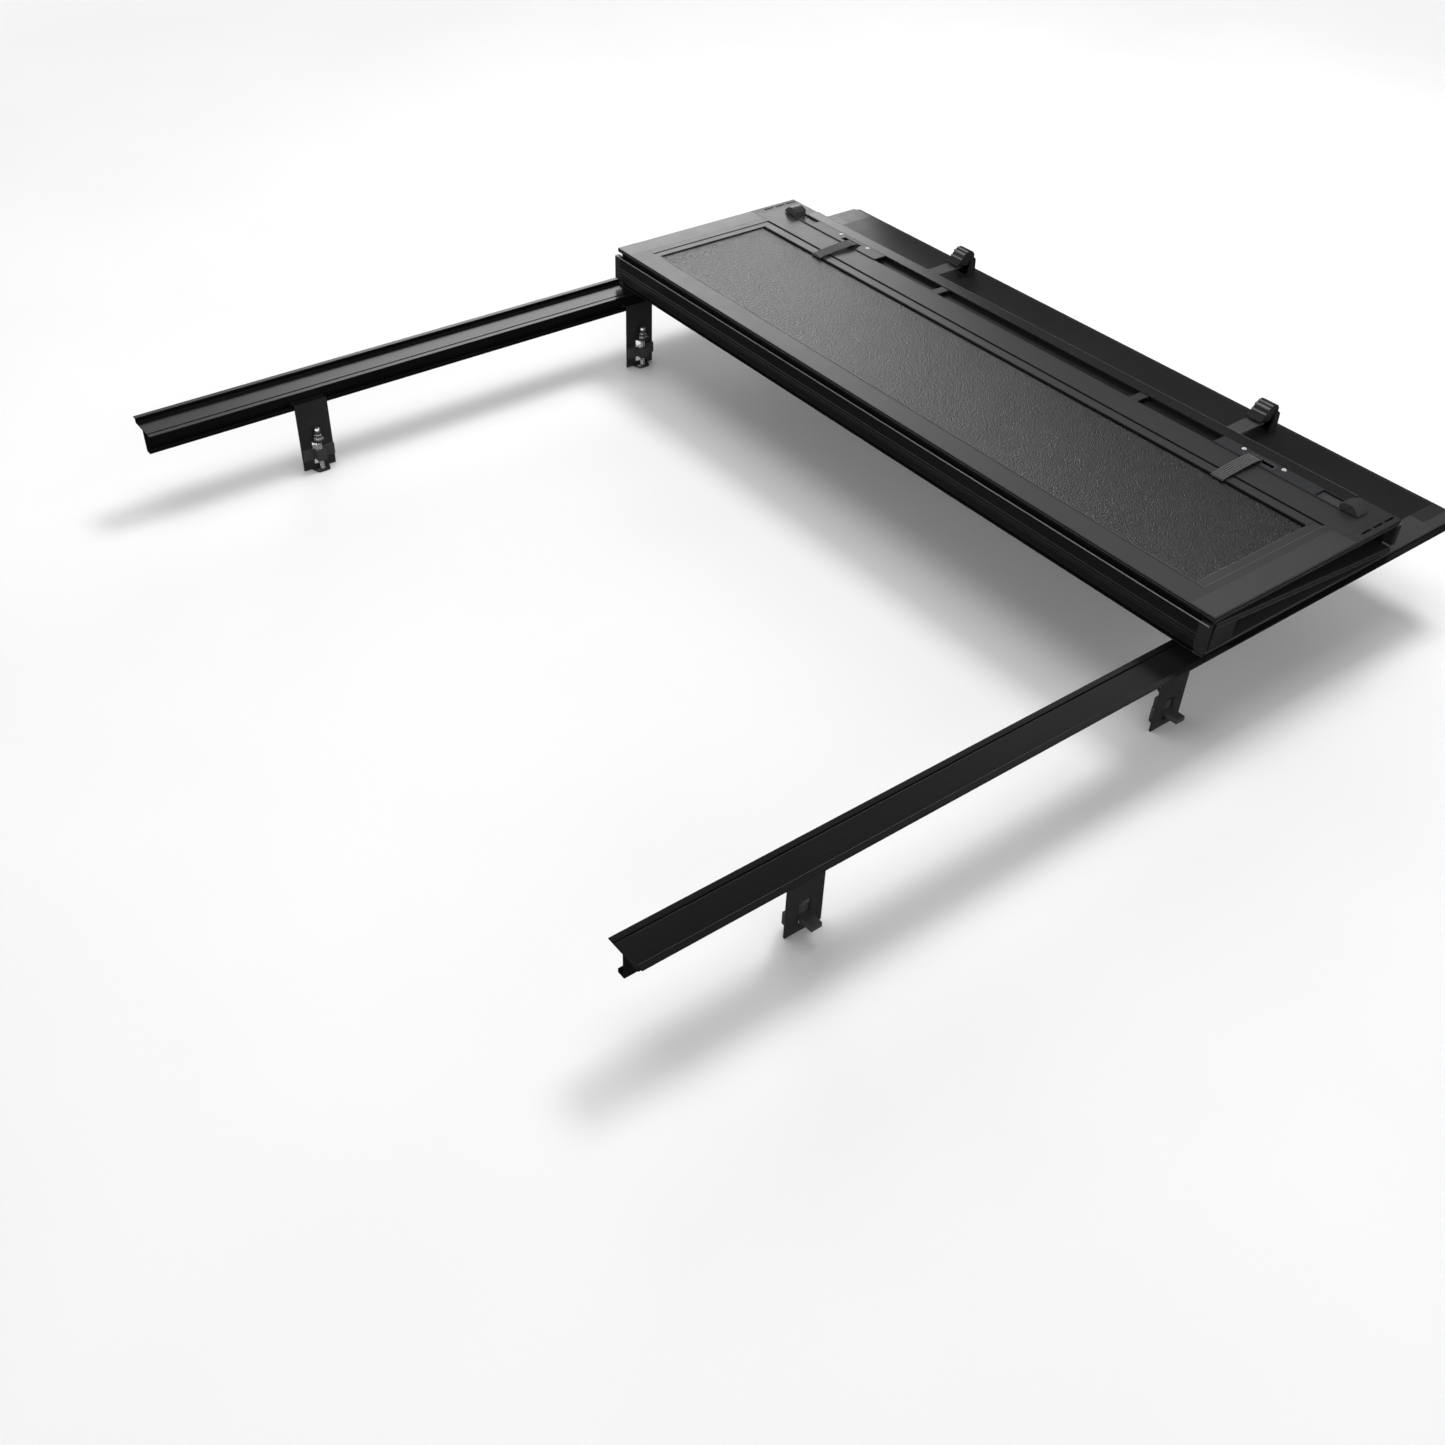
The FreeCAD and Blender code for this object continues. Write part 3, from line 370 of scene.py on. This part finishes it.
BOLTS = ["%s_latch_bolt_%s" % (panel, side) for panel in ("mid", "rear") for side in SIDES]
LEVERS = ["stow_clip_lever_%s" % side for side in SIDES]

# painted light and shade: the hinge links and latch rail get darker copies, the front side frames,
# corner caps and clamp jaws lighter copies of their finishes
finishes_and_painted_light = {
    "front_hinge_link": dict(material="link_shaded_black", width=0.25),
    "rear_hinge_link": dict(material="link_shaded_black", width=0.25),
    "mid_latch_rail": dict(material="latch_rail_shaded_black", width=0.3),
    "front_side_frames": dict(material="front_side_lit_black"),
    "front_corner_caps": dict(material="front_cap_lit_black"),
}
for name in BOLTS:
    finishes_and_painted_light[name] = dict(width=0.7, angle=50.0, segments=3)
for side in SIDES:
    finishes_and_painted_light["stow_clip_lever_" + side] = dict(width=0.4, angle=50.0)
    for end in ("front", "rear"):
        # painted light: the jaws get a lighter copy of the bracket finish
        finishes_and_painted_light["clamp_jaw_%s_%s" % (end, side)] = dict(material="jaw_lit_black")
for name in nodes:
    dress(name, **finishes_and_painted_light.get(name, {}))


# ------------------------------------------------------------- piece builders
def add(name, verts, faces, slot, body, material=None, uvs=None, replaces=()):
    """Make an object from millimetre points; its material defaults to the slot's."""
    mesh = bpy.data.meshes.new(name)
    mesh.from_pydata([tuple(c * MM for c in v) for v in verts], [], faces)
    mesh.update()
    piece = bpy.data.objects.new(name, mesh)
    bpy.context.scene.collection.objects.link(piece)
    mesh.materials.append(MATS[material or slot])
    for polygon in mesh.polygons:
        polygon.use_smooth = True
    if uvs is not None:
        layer = mesh.uv_layers.new(name="UVMap")
        for loop in mesh.loops:
            layer.data[loop.index].uv = uvs[loop.vertex_index]
    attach(piece, body)
    if replaces:
        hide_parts(*replaces)
    return piece


def tilted(point):
    """Lay a level rear-panel point at the panel's slope."""
    x, y, z = point
    y, z = y - REAR_PIVOT_Y, z - REAR_PIVOT_Z
    cos, sin = math.cos(REAR_SLOPE), math.sin(REAR_SLOPE)
    return (x, REAR_PIVOT_Y + y * cos - z * sin, REAR_PIVOT_Z + y * sin + z * cos)


class LatchSite:
    """Where a panel's latches sit. The rear panel is upside down, so turn is -1 there."""

    def __init__(self, panel, y, z_face, turn, sloped):
        self.panel, self.y, self.z_face = panel, y, z_face
        self.turn, self.sloped = turn, sloped

    def place(self, along, height):
        """(y, z) of a point: along from the latch axis, height off the panel face."""
        return (self.y - self.turn * along, self.z_face + self.turn * height)

    def box(self, x0, x1, along0, along1, height0, height1):
        (y0, z0), (y1, z1) = self.place(along0, height0), self.place(along1, height1)
        return (x0, x1, y0, y1, z0, z1)


MID_LATCH = LatchSite("mid", y=-228.0, z_face=64.0, turn=1, sloped=False)
REAR_LATCH = LatchSite("rear", y=REAR_END_Y + 77.0, z_face=4.5, turn=-1, sloped=True)
LATCHES = (MID_LATCH, REAR_LATCH)

# corner order of a box: bottom ring, then top ring
BOX_FACES = ((0, 3, 2, 1), (4, 5, 6, 7), (0, 1, 5, 4), (1, 2, 6, 5), (2, 3, 7, 6), (3, 0, 4, 7))


def bars(name, boxes, material, bevel, body="folded_pair", slot="frame_black", segments=2,
         sloped=False):
    """One object of soft-edged boxes, each given as (x0, x1, y0, y1, z0, z1)."""
    verts, faces = [], []
    for box in boxes:
        (x0, x1), (y0, y1), (z0, z1) = (sorted(box[i:i + 2]) for i in (0, 2, 4))
        start = len(verts)
        for z in (z0, z1):
            verts += [(x0, y0, z), (x1, y0, z), (x1, y1, z), (x0, y1, z)]
        faces += [tuple(start + i for i in face) for face in BOX_FACES]
    if sloped:
        verts = [tilted(v) for v in verts]
    piece = add(name, verts, faces, slot, body, material)
    round_edges(piece, bevel, segments)
    even_normals(piece)


def both_sides(boxes):
    """The boxes on the right, then mirrored on the left."""
    return [(s * x0, s * x1, *rest) for s in (1, -1) for x0, x1, *rest in boxes]


# ---------------------------------------------------------------- pull straps
STRAP_X = (468.0, 493.0)    # inner and outer edge of the right strap
STRAP_STEPS = 40            # quads across a strip
PATH_STEP = 0.55            # target length of a quad along a strip
HEM = 0.7                   # width of the thinned edge
HEM_THINNING = 0.55         # share of the half thickness lost at the edge
VALLEY_DEPTH = 0.24         # depth between ribs, share of the thickness
INSET_DEPTH = 0.09          # overall inset, share of the thickness
TOOTH = 0.05                # height of the yarn rows on a rib

# points are (along, height) from the latch axis and face
STRAP_MAIN = [(-0.5, -1.75), (-0.3, 0.4), (1.2, 3.2), (5.2, 5.3), (14.0, 6.5), (30.0, 6.1),
              (50.0, 5.0), (67.0, 3.4), (82.0, 1.7), (96.0, -0.4)]
STRAP_FOLD = [(95.0, 0.95), (88.0, 2.0), (80.5, 3.2), (74.0, 4.1)]
LOOP_CENTRE, LOOP_RADIUS, LOOP_STEPS = (-0.5, -4.6), 2.26, 40


def woven_strip(path, x0, x1, thick, closed):
    """A solid webbing strip with ribs: path is (y, z), width runs along X.
    Returns verts, quads and uvs; u is the run along the path and v the way across."""
    count = len(path)
    width = x1 - x0
    stations = []   # y, z, normal y, normal z, run
    run = 0.0
    for i, (y, z) in enumerate(path):
        if closed:
            before, after = path[i - 1], path[(i + 1) % count]
        else:
            before, after = path[max(i - 1, 0)], path[min(i + 1, count - 1)]
        dy, dz = after[0] - before[0], after[1] - before[1]
        length = math.hypot(dy, dz)
        if i:
            run += math.dist(path[i - 1], path[i])
        stations.append((y, z, -dz / length, dy / length, run))
    verts, uvs = [], []
    for side in (1, -1):
        for y, z, ny, nz, run in stations:
            for j in range(STRAP_STEPS + 1):
                v = j / STRAP_STEPS * width
                edge = min(v, width - v)
                lip = 0.0 if edge > HEM else (1 - edge / HEM) ** 2
                band = abs(math.sin(math.pi * v / RIB_PITCH))
                shift = math.pi if int(v / RIB_PITCH) % 2 else 0
                tooth = math.sin(2 * math.pi * run / (2 * ROW_PITCH) + shift)
                half_thick = (thick / 2 * (1 - HEM_THINNING * lip)
                              - VALLEY_DEPTH * thick * (1 - band) ** 1.2
                              - INSET_DEPTH * thick + TOOTH * tooth * band)
                verts.append((x0 + v, y + side * ny * half_thick, z + side * nz * half_thick))
                uvs.append((run, v))
    faces = []
    row = STRAP_STEPS + 1
    under = count * row     # offset to the same point on the other face
    for i in range(count if closed else count - 1):
        here, there = i * row, (i + 1) % count * row
        for j in range(STRAP_STEPS):
            a, b, c, d = here + j, here + j + 1, there + j + 1, there + j
            faces.append((a, d, c, b))
            faces.append((under + a, under + b, under + c, under + d))
        faces.append((here, under + here, under + there, there))
        here, there = here + STRAP_STEPS, there + STRAP_STEPS
        faces.append((here, there, under + there, under + here))
    if not closed:
        last = (count - 1) * row
        for j in range(STRAP_STEPS):
            faces.append((j, j + 1, under + j + 1, under + j))
            k = last + j
            faces.append((k, under + k, under + k + 1, k + 1))
    return verts, faces, uvs


def smooth_path(control):
    """Catmull-Rom through the control points, cut about every PATH_STEP."""
    path = []
    last = len(control) - 1
    for i in range(last):
        points = (control[max(i - 1, 0)], control[i], control[i + 1], control[min(i + 2, last)])
        pieces = max(2, int(math.dist(points[1], points[2]) / PATH_STEP))
        for k in range(pieces):
            t = k / pieces
            path.append(tuple(
                0.5 * (2 * b + (-a + c) * t + (2 * a - 5 * b + 4 * c - d) * t * t
                       + (-a + 3 * b - 3 * c + d) * t ** 3)
                for a, b, c, d in zip(*points)))
    path.append(control[-1])
    return path


def pull_straps(site):
    """Both straps of a panel: looped round the pull pin, folded over at the free end."""
    loop = []
    for i in range(LOOP_STEPS):
        angle = 2 * math.pi * i / LOOP_STEPS
        loop.append((LOOP_CENTRE[0] + LOOP_RADIUS * math.cos(angle),
                     LOOP_CENTRE[1] + LOOP_RADIUS * math.sin(angle)))
    # path, thickness, closed, inset of both edges
    strips = ((smooth_path(STRAP_MAIN), 1.6, False, 0.0),
              (loop, 0.62, True, 0.4),
              (smooth_path(STRAP_FOLD), 1.0, False, 0.5))
    verts, faces, uvs = [], [], []
    for x0, x1 in (STRAP_X, (-STRAP_X[1], -STRAP_X[0])):
        for path, thick, closed, inset in strips:
            placed = [site.place(*point) for point in path]
            if site.turn > 0:
                placed.reverse()
            part = woven_strip(placed, x0 + inset, x1 - inset, thick, closed)
            start = len(verts)
            verts += part[0]
            faces += [tuple(start + i for i in face) for face in part[1]]
            uvs += part[2]
    if site.sloped:
        verts = [tilted(v) for v in verts]
    node = site.panel + "_pull_straps"
    piece = add(node + "_woven", verts, faces, "strap_webbing", "folded_pair", uvs=uvs,
                replaces=[node])
    bm = bmesh.new()
    bm.from_mesh(piece.data)
    bmesh.ops.recalc_face_normals(bm, faces=bm.faces)
    bm.to_mesh(piece.data)
    bm.free()


for site in LATCHES:
    pull_straps(site)


# --------------------------------------------------------------- clamp screws
CLAMP_X = 662.0
CLAMP_Y = {"front": -600.0, "rear": -1290.0}
HEX_HALF_FLATS = 6.5
HEAD_STEPS, DOME_STEPS, SHANK_STEPS = 48, 12, 28
DOME_Z, DOME_RADIUS, DOME_HEIGHT = -88.6, 6.15, 9.5 * 0.995
# flange and hexagon, upwards: z, radius, hexagonal; a hexagon's corners are cut to the radius
HEAD_PROFILE = (
    (-101.1, 4.4, False), (-101.1, 8.0, False), (-100.7, 8.3, False), (-99.9, 8.3, False),
    (-99.4, 7.9, False), (-99.2, 7.2, True), (-98.9, math.inf, True), (-94.2, math.inf, True),
    (-93.5, 6.95, True), (-93.0, 6.35, False), (-92.6, 6.15, False),
    (DOME_Z, DOME_RADIUS, False),
)
SHANK_TOP, SHANK_BOTTOM = -101.2, -162.3
THREAD_TOP = -104.5
PLAIN_RADIUS = 3.96
THREAD_PITCH, ROOT_RADIUS, CREST_RADIUS = 1.25, 3.30, 3.98
RINGS_PER_PITCH = 8
LEAD_IN = 1.6               # length over which the thread fades in at the tip


def head_radius(angle, radius, hexagonal):
    if not hexagonal:
        return radius
    off_flat = (angle + math.pi / 6) % (math.pi / 3) - math.pi / 6
    return min(HEX_HALF_FLATS / math.cos(off_flat), radius)


def shank_radius(angle, z):
    if z > THREAD_TOP:
        return PLAIN_RADIUS
    fade = min(1.0, (z - SHANK_BOTTOM) / LEAD_IN)
    phase = (z / THREAD_PITCH - angle / (2 * math.pi)) % 1.0
    ridge = 1 - abs(2 * phase - 1)
    crest = min(1.0, max(0.0, (ridge - 0.12) / 0.74))
    depth = CREST_RADIUS - ROOT_RADIUS
    return ROOT_RADIUS + depth * crest * (0.25 + 0.75 * fade) - (1 - fade) * 0.5


def stack_rings(verts, faces, centre, rings, steps):
    """Append a capped solid of rings, each (z, radius function, its arguments)."""
    start = len(verts)
    for z, radius_at, arguments in rings:
        for i in range(steps):
            angle = 2 * math.pi * i / steps
            r = radius_at(angle, *arguments)
            verts.append((centre[0] + r * math.cos(angle), centre[1] + r * math.sin(angle), z))
    last = len(verts) - steps
    for low in range(start, last, steps):
        for i in range(steps):
            j = (i + 1) % steps
            faces.append((low + i, low + j, low + steps + j, low + steps + i))
    faces.append(tuple(range(start, start + steps))[::-1])
    faces.append(tuple(range(last, last + steps)))


def clamp_screw(node, x, y):
    """Acorn head with a flange, and a cut thread below it."""
    head = [(z, head_radius, (radius, hexagonal)) for z, radius, hexagonal in HEAD_PROFILE]
    for i in range(1, DOME_STEPS):
        t = math.pi / 2 * i / DOME_STEPS
        head.append((DOME_Z + DOME_HEIGHT * math.sin(t), head_radius,
                     (DOME_RADIUS * math.cos(t) ** 0.9, False)))
    length = SHANK_TOP - SHANK_BOTTOM
    count = int(length / (THREAD_PITCH / RINGS_PER_PITCH))
    heights = [SHANK_BOTTOM + length * k / count for k in range(count + 1)]
    verts, faces = [], []
    stack_rings(verts, faces, (x, y), head, HEAD_STEPS)
    stack_rings(verts, faces, (x, y), [(z, shank_radius, (z,)) for z in heights], SHANK_STEPS)
    piece = add(node + "_threaded", verts, faces, "zinc_steel", node, replaces=[node])
    round_edges(piece, 0.18, angle=40, name="edges")
    even_normals(piece)


for end, y in CLAMP_Y.items():
    for side, x in zip(SIDES, (CLAMP_X, -CLAMP_X)):
        clamp_screw("clamp_screw_%s_%s" % (end, side), x, y)


# ----------------------------------------------- second materials on CAD nodes
PIN_END_X = 540.2       # the pull pin lies inboard of this
SLIDER_END_X = 645.2    # the slider lies between the pin and this


def paint(name, material, test):
    """Give the faces for which test(centre in mm, normal) holds a further material."""
    mesh = nodes[name].data
    mesh.materials.append(MATS[material])
    index = len(mesh.materials) - 1
    for polygon in mesh.polygons:
        if test(polygon.center * 1000, polygon.normal):
            polygon.material_index = index


# chrome pull pin and tongue slider of each slam bolt
for name in BOLTS:
    mesh = nodes[name].data
    mesh.materials.append(MATS["chrome_screw"])
    mesh.materials.append(MATS["slider_plastic"])
    for polygon in mesh.polygons:
        x = abs(polygon.center.x) * 1000
        if x < PIN_END_X:
            polygon.material_index = 1
        elif x < SLIDER_END_X:
            polygon.material_index = 2

# painted highlight: brighter finger ribs on the stow clip levers: y, z, radius
FINGER_RIBS = ((-47.8, 52.8, 1.7), (-54.2, 48.6, 2.7), (-61.6, 41.0, 1.9))
for name in LEVERS:
    paint(name, "rib_highlight_plastic", lambda at, normal: abs(normal.x) < 0.5 and any(
        math.hypot(at.y - y, at.z - z) < radius + 0.05 for y, z, radius in FINGER_RIBS))

# painted shade: dark hinge throats between panel edge and link
THROAT_TAIL_Y, THROAT_FRONT_Y, THROAT_TOP_Z = -613.5, -190.2, 60.55
paint("mid_frame_rear", "shadow_black",
      lambda at, normal: at.y < THROAT_TAIL_Y and at.z < THROAT_TOP_Z)
paint("mid_frame_front", "shadow_black",
      lambda at, normal: at.y > THROAT_FRONT_Y and at.z < THROAT_TOP_Z)
paint("front_frame_rear", "shadow_black",
      lambda at, normal: at.y < THROAT_TAIL_Y and -3.55 < at.z < 3.9)

# painted shade: dark channel that holds the mid latches
paint("mid_frame_front", "channel_shaded_black",
      lambda at, normal: -243.3 < at.y < -212.7 and at.z < 63.6)

# painted shade: dark groove and outer wall of the side rails
for side in SIDES:
    paint("side_rail_" + side, "shadow_black",
          lambda at, normal: (670.4 < abs(at.x) < 673.6 and -8.6 < at.z < -7.15)
          or (abs(abs(at.x) - 718.5) < 0.05 and -7.0 < at.z < 0.4))

# painted shade: dark top and foot of the hinge links
LINK_TOP_Z = 51.4
paint("front_hinge_link", "shadow_black",
      lambda at, normal: at.z > LINK_TOP_Z + 0.05 or at.z < 5.55)
paint("rear_hinge_link", "shadow_black",
      lambda at, normal: at.z > LINK_TOP_Z + 0.05 or at.z < 17.0)


# ----------------------------------------------------------- trims and beads
# every box is x0, x1, y0, y1, z0, z1
# painted shade: dark bars along the infill board's cab-side edge and in the outer step
bars("mid_infill_shade_line", [(-644.9, 644.9, -322.7, -318.1, 60.9, 62.9)], "shadow_black",
     bevel=0.25, slot="seal_rubber")
bars("mid_step_shade_line", [(-659.9, 659.9, -299.2, -296.2, 62.9, 63.8)], "shadow_black",
     bevel=0.25, slot="seal_rubber")

# rolled lip under the mid panel's tail edge, with its shadow groove
bars("mid_tail_lip", [(-TRIM_X, TRIM_X, -618.5, -616.6, 57.9, 61.3)], "lip_black", bevel=0.5)
bars("mid_tail_groove", [(-GROOVE_X, GROOVE_X, -618.05, TAIL_Y, 61.4, 62.3)], "shadow_black",
     bevel=0.2)


def link_trims(end, body, y, inward, rib_heights):
    """Bright top bead, a painted highlight, and drawn ribs on the link face at y; inward is the Y
    sign into the link.
    """
    sunk = y + inward * 0.06
    bars(end + "_link_highlight_bead",
         [(-TRIM_X, TRIM_X, y - inward * 1.6, sunk, LINK_TOP_Z - 0.9, LINK_TOP_Z + 0.35)],
         "highlight_trim_satin", bevel=0.35, body=body, segments=3)
    bars(end + "_link_ribs",
         [(-TRIM_X, TRIM_X, y - inward * 0.4, sunk, z - 0.45, z + 0.45) for z in rib_heights],
         "lip_black", bevel=0.15, body=body)


link_trims("front", "front_link", y=-625.0, inward=-1, rib_heights=(28.6, 19.6))
link_trims("rear", "folded_pair", y=-179.0, inward=1, rib_heights=(34.0,))

# painted light: lighter strips along the outer sides of the mid panel
bars("mid_side_lit_strips", both_sides([(674.6, 716.3, -616.9, -297.0, 63.85, 64.06)]),
     "side_strip_lit_black", bevel=0.06)


def rim_highlight_beads(y0, y1, heights):
    return both_sides([(*RIM_X, y0, y1, z - 0.4, z + 0.4) for z in heights])


# painted highlights: fine bright beads along the steps and the outer rims of the panels
bars("mid_edge_highlight_beads", [
    (645.05, 645.95, -571.0, -318.2, 62.8, 63.18),
    (660.1, 661.0, -571.0, -297.0, 63.8, 64.06),
    (-645.0, 661.0, -571.95, -571.05, 63.8, 64.06),
] + rim_highlight_beads(TAIL_Y, -187.4, (62.9, 54.9)), "edge_highlight_satin", bevel=0.18)
bars("rear_edge_highlight_beads", rim_highlight_beads(-608.0, -187.6, (5.8, 14.2)), "edge_highlight_satin", bevel=0.18,
     sloped=True)
bars("front_edge_highlight_beads", rim_highlight_beads(TAIL_Y, -6.5, (2.0, -6.2)), "edge_highlight_satin", bevel=0.18,
     body="rails_and_front_panel")
# painted highlight along the front edge of the latch rail
bars("mid_latch_rail_bead", [(-639.4, 639.4, -188.1, -187.1, 64.8, 65.45)], "edge_highlight_satin",
     bevel=0.2)

# painted shade: dark plates between the ears of each stow clip, under the lever
CLIP_X, SHADE_PLATE_HALF = 364.0, 15.5
SHADE_PLATE_X = (CLIP_X - SHADE_PLATE_HALF, CLIP_X + SHADE_PLATE_HALF)
bars("stow_clip_shade_plates", both_sides([
    (*SHADE_PLATE_X, -27.4, -25.6, 4.5, 27.5),
    (*SHADE_PLATE_X, -45.0, -26.5, 5.6, 7.0),
]), "shadow_black", bevel=0.4, body="rails_and_front_panel", slot="clip_plastic")

# latch details: x0, x1, along0, along1, height0, height1 from the latch axis and face
# painted highlight: fine bright rim round the strap slot of each latch plate
SLOT_HIGHLIGHT_RIMS = ((466.0, 515.6, -7.1, -6.55, 0.9, 1.3),
             (466.0, 515.6, 4.55, 5.1, 0.9, 1.3),
             (515.05, 515.6, -6.5, 4.5, 0.9, 1.3))
# slim rails that carry the slam bolt between plate end and wedge
WINDOW_RAILS = ((600.2, 643.0, 13.25, 14.7, -1.8, 1.9),
                (600.2, 643.0, -14.7, -13.25, -1.8, 1.1))
for detail, boxes, material, bevel in (
        ("slot_highlight_rims", SLOT_HIGHLIGHT_RIMS, "highlight_trim_satin", 0.15),
        ("window_rails", WINDOW_RAILS, "latch_plate", 0.35)):
    for site in LATCHES:
        bars("%s_latch_%s" % (site.panel, detail), both_sides([site.box(*b) for b in boxes]),
             material, bevel, slot="latch_plate", sloped=site.sloped)

# ---------------------------------------------------------------- the stage
FLOOR_HALF = 40.0
FLOOR_GAP = 0.0006      # clearance under the lowest node


def staged(name, corners):
    """A single flat face."""
    mesh = bpy.data.meshes.new(name)
    mesh.from_pydata(corners, [], [tuple(range(len(corners)))])
    piece = bpy.data.objects.new(name, mesh)
    bpy.context.scene.collection.objects.link(piece)
    return piece


def floor_material():
    """Pale to the camera, white far out, dim to diffuse rays and dark in reflections."""
    mat = Mat("floor_pale")
    mat.put("Base Color", mat.colour(mat.noise(1.2, detail=3.0), (0.80, 0.84)))
    mat.put("Roughness", 0.75)
    mat.put("Specular IOR Level", 0.2)
    ray = mat.node("LightPath").outputs
    distance = mat.node("VectorMath", {0: mat.coords}, operation="LENGTH").outputs["Value"]
    far = mat.span(distance, to=(0.0, 1.0), over=(2.0, 5.0), curve="SMOOTHSTEP")
    seen = mat.mix(far, mat.shader.outputs["BSDF"], mat.emission(1.0))
    seen = mat.mix(ray["Is Diffuse Ray"], seen, mat.emission(0.26))
    seen = mat.mix(ray["Is Glossy Ray"], seen, mat.emission(0.045))
    mat.feed(mat.surface, seen)
    return mat.material


def flag(name, corners, value):
    """A dark studio flag that only shows in reflections."""
    piece = staged(name, corners)
    material = bpy.data.materials.new(name)
    graph = Graph(material)
    surface = graph.node("OutputMaterial").inputs["Surface"]
    graph.feed(surface, graph.emission(value))
    piece.data.materials.append(material)
    piece.visible_camera = False
    piece.visible_diffuse = False
    piece.visible_shadow = False
    piece.visible_transmission = False


floor_z = min(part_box(name)[0].z for name in nodes) - FLOOR_GAP
floor = staged("floor", [(x * FLOOR_HALF, y * FLOOR_HALF, floor_z)
                         for x, y in ((-1, -1), (1, -1), (1, 1), (-1, 1))])
floor.data.materials.append(floor_material())

flag("flag_back_low", value=0.04, corners=[
    (-0.88, 0.14, -0.05), (1.2, 0.14, -0.05), (1.2, 0.21, 0.20), (-0.88, 0.21, 0.20)])
flag("flag_back_high", value=0.13, corners=[
    (-0.90, 0.21, 0.20), (1.2, 0.21, 0.20), (1.2, 0.40, 0.56), (-0.52, 0.40, 0.56)])


def studio_world():
    """Bright low walls, a dim ceiling and one soft box towards -X and +Y; the camera sees white."""
    world = bpy.data.worlds.new("studio")
    bpy.context.scene.world = world
    graph = Graph(world)
    surface = graph.node("OutputWorld").inputs["Surface"]
    background = graph.node("Background", {"Color": (1, 1, 1, 1)})
    direction = graph.node("TexCoord").outputs["Generated"]
    z = graph.node("SeparateXYZ", {0: direction}).outputs["Z"]
    wall = graph.calc(
        "ADD", graph.span(z, to=(0.80, 0.0), over=(0.26, 0.48), curve="SMOOTHSTEP"),
        graph.span(z, to=(0.90, 0.10), over=(0.55, 0.68), curve="SMOOTHSTEP"))
    box_direction = Vector((-0.80, 0.50, 0.36)).normalized()
    facing = graph.node("VectorMath", {0: direction, 1: box_direction},
                        operation="DOT_PRODUCT").outputs["Value"]
    # the box fades out between 7 and 14 degrees off its centre
    fade = (math.cos(math.radians(14)), math.cos(math.radians(7)))
    soft_box = graph.span(facing, to=(0.0, 3.0), over=fade, curve="SMOOTHSTEP")
    level = graph.calc("ADD", wall, soft_box)
    camera_ray = graph.node("LightPath").outputs["Is Camera Ray"]
    strength = graph.node("Mix", {0: camera_ray, 2: level, 3: 1.0}, data_type="FLOAT").outputs[0]
    graph.feed(background.inputs["Strength"], strength)
    graph.feed(surface, background.outputs[0])


def area(name, location, target, size, power):
    """A disk light that stays out of reflections."""
    data = bpy.data.lights.new(name, "AREA")
    data.shape = "DISK"
    data.size = size
    data.energy = power
    light = bpy.data.objects.new(name, data)
    bpy.context.scene.collection.objects.link(light)
    light.location = location
    light.rotation_mode = "QUATERNION"
    light.rotation_quaternion = (Vector(target) - Vector(location)).to_track_quat("-Z", "Y")
    light.visible_glossy = False


studio_world()
area("key", location=(-0.4, 1.3, 4.2), target=(0.0, -0.6, 0.0), size=1.5, power=105.0)
area("top", location=(-0.3, -0.9, 5.0), target=(-0.2, -0.7, 0.0), size=4.5, power=120.0)


# --------------------------------------------------------------- the camera
def add_camera(location, right, up, back):
    """The camera, set by its own axes in world space."""
    data = bpy.data.cameras.new("camera")
    data.lens = 38.942
    data.sensor_width = 36.0
    data.clip_start, data.clip_end = 0.05, 100.0
    camera = bpy.data.objects.new("camera", data)
    bpy.context.scene.collection.objects.link(camera)
    matrix = Matrix((right, up, back)).transposed().to_4x4()
    matrix.translation = location
    camera.matrix_world = matrix
    bpy.context.scene.camera = camera


add_camera(location=(1.64767, -2.21461, 1.31291),
           right=(0.604907, 0.795687, 0.031142),
           up=(-0.531022, 0.37394, 0.760384),
           back=(0.593383, -0.476499, 0.648726))
bpy.context.scene.view_settings.view_transform = "Standard"
bpy.context.scene.view_settings.look = "None"
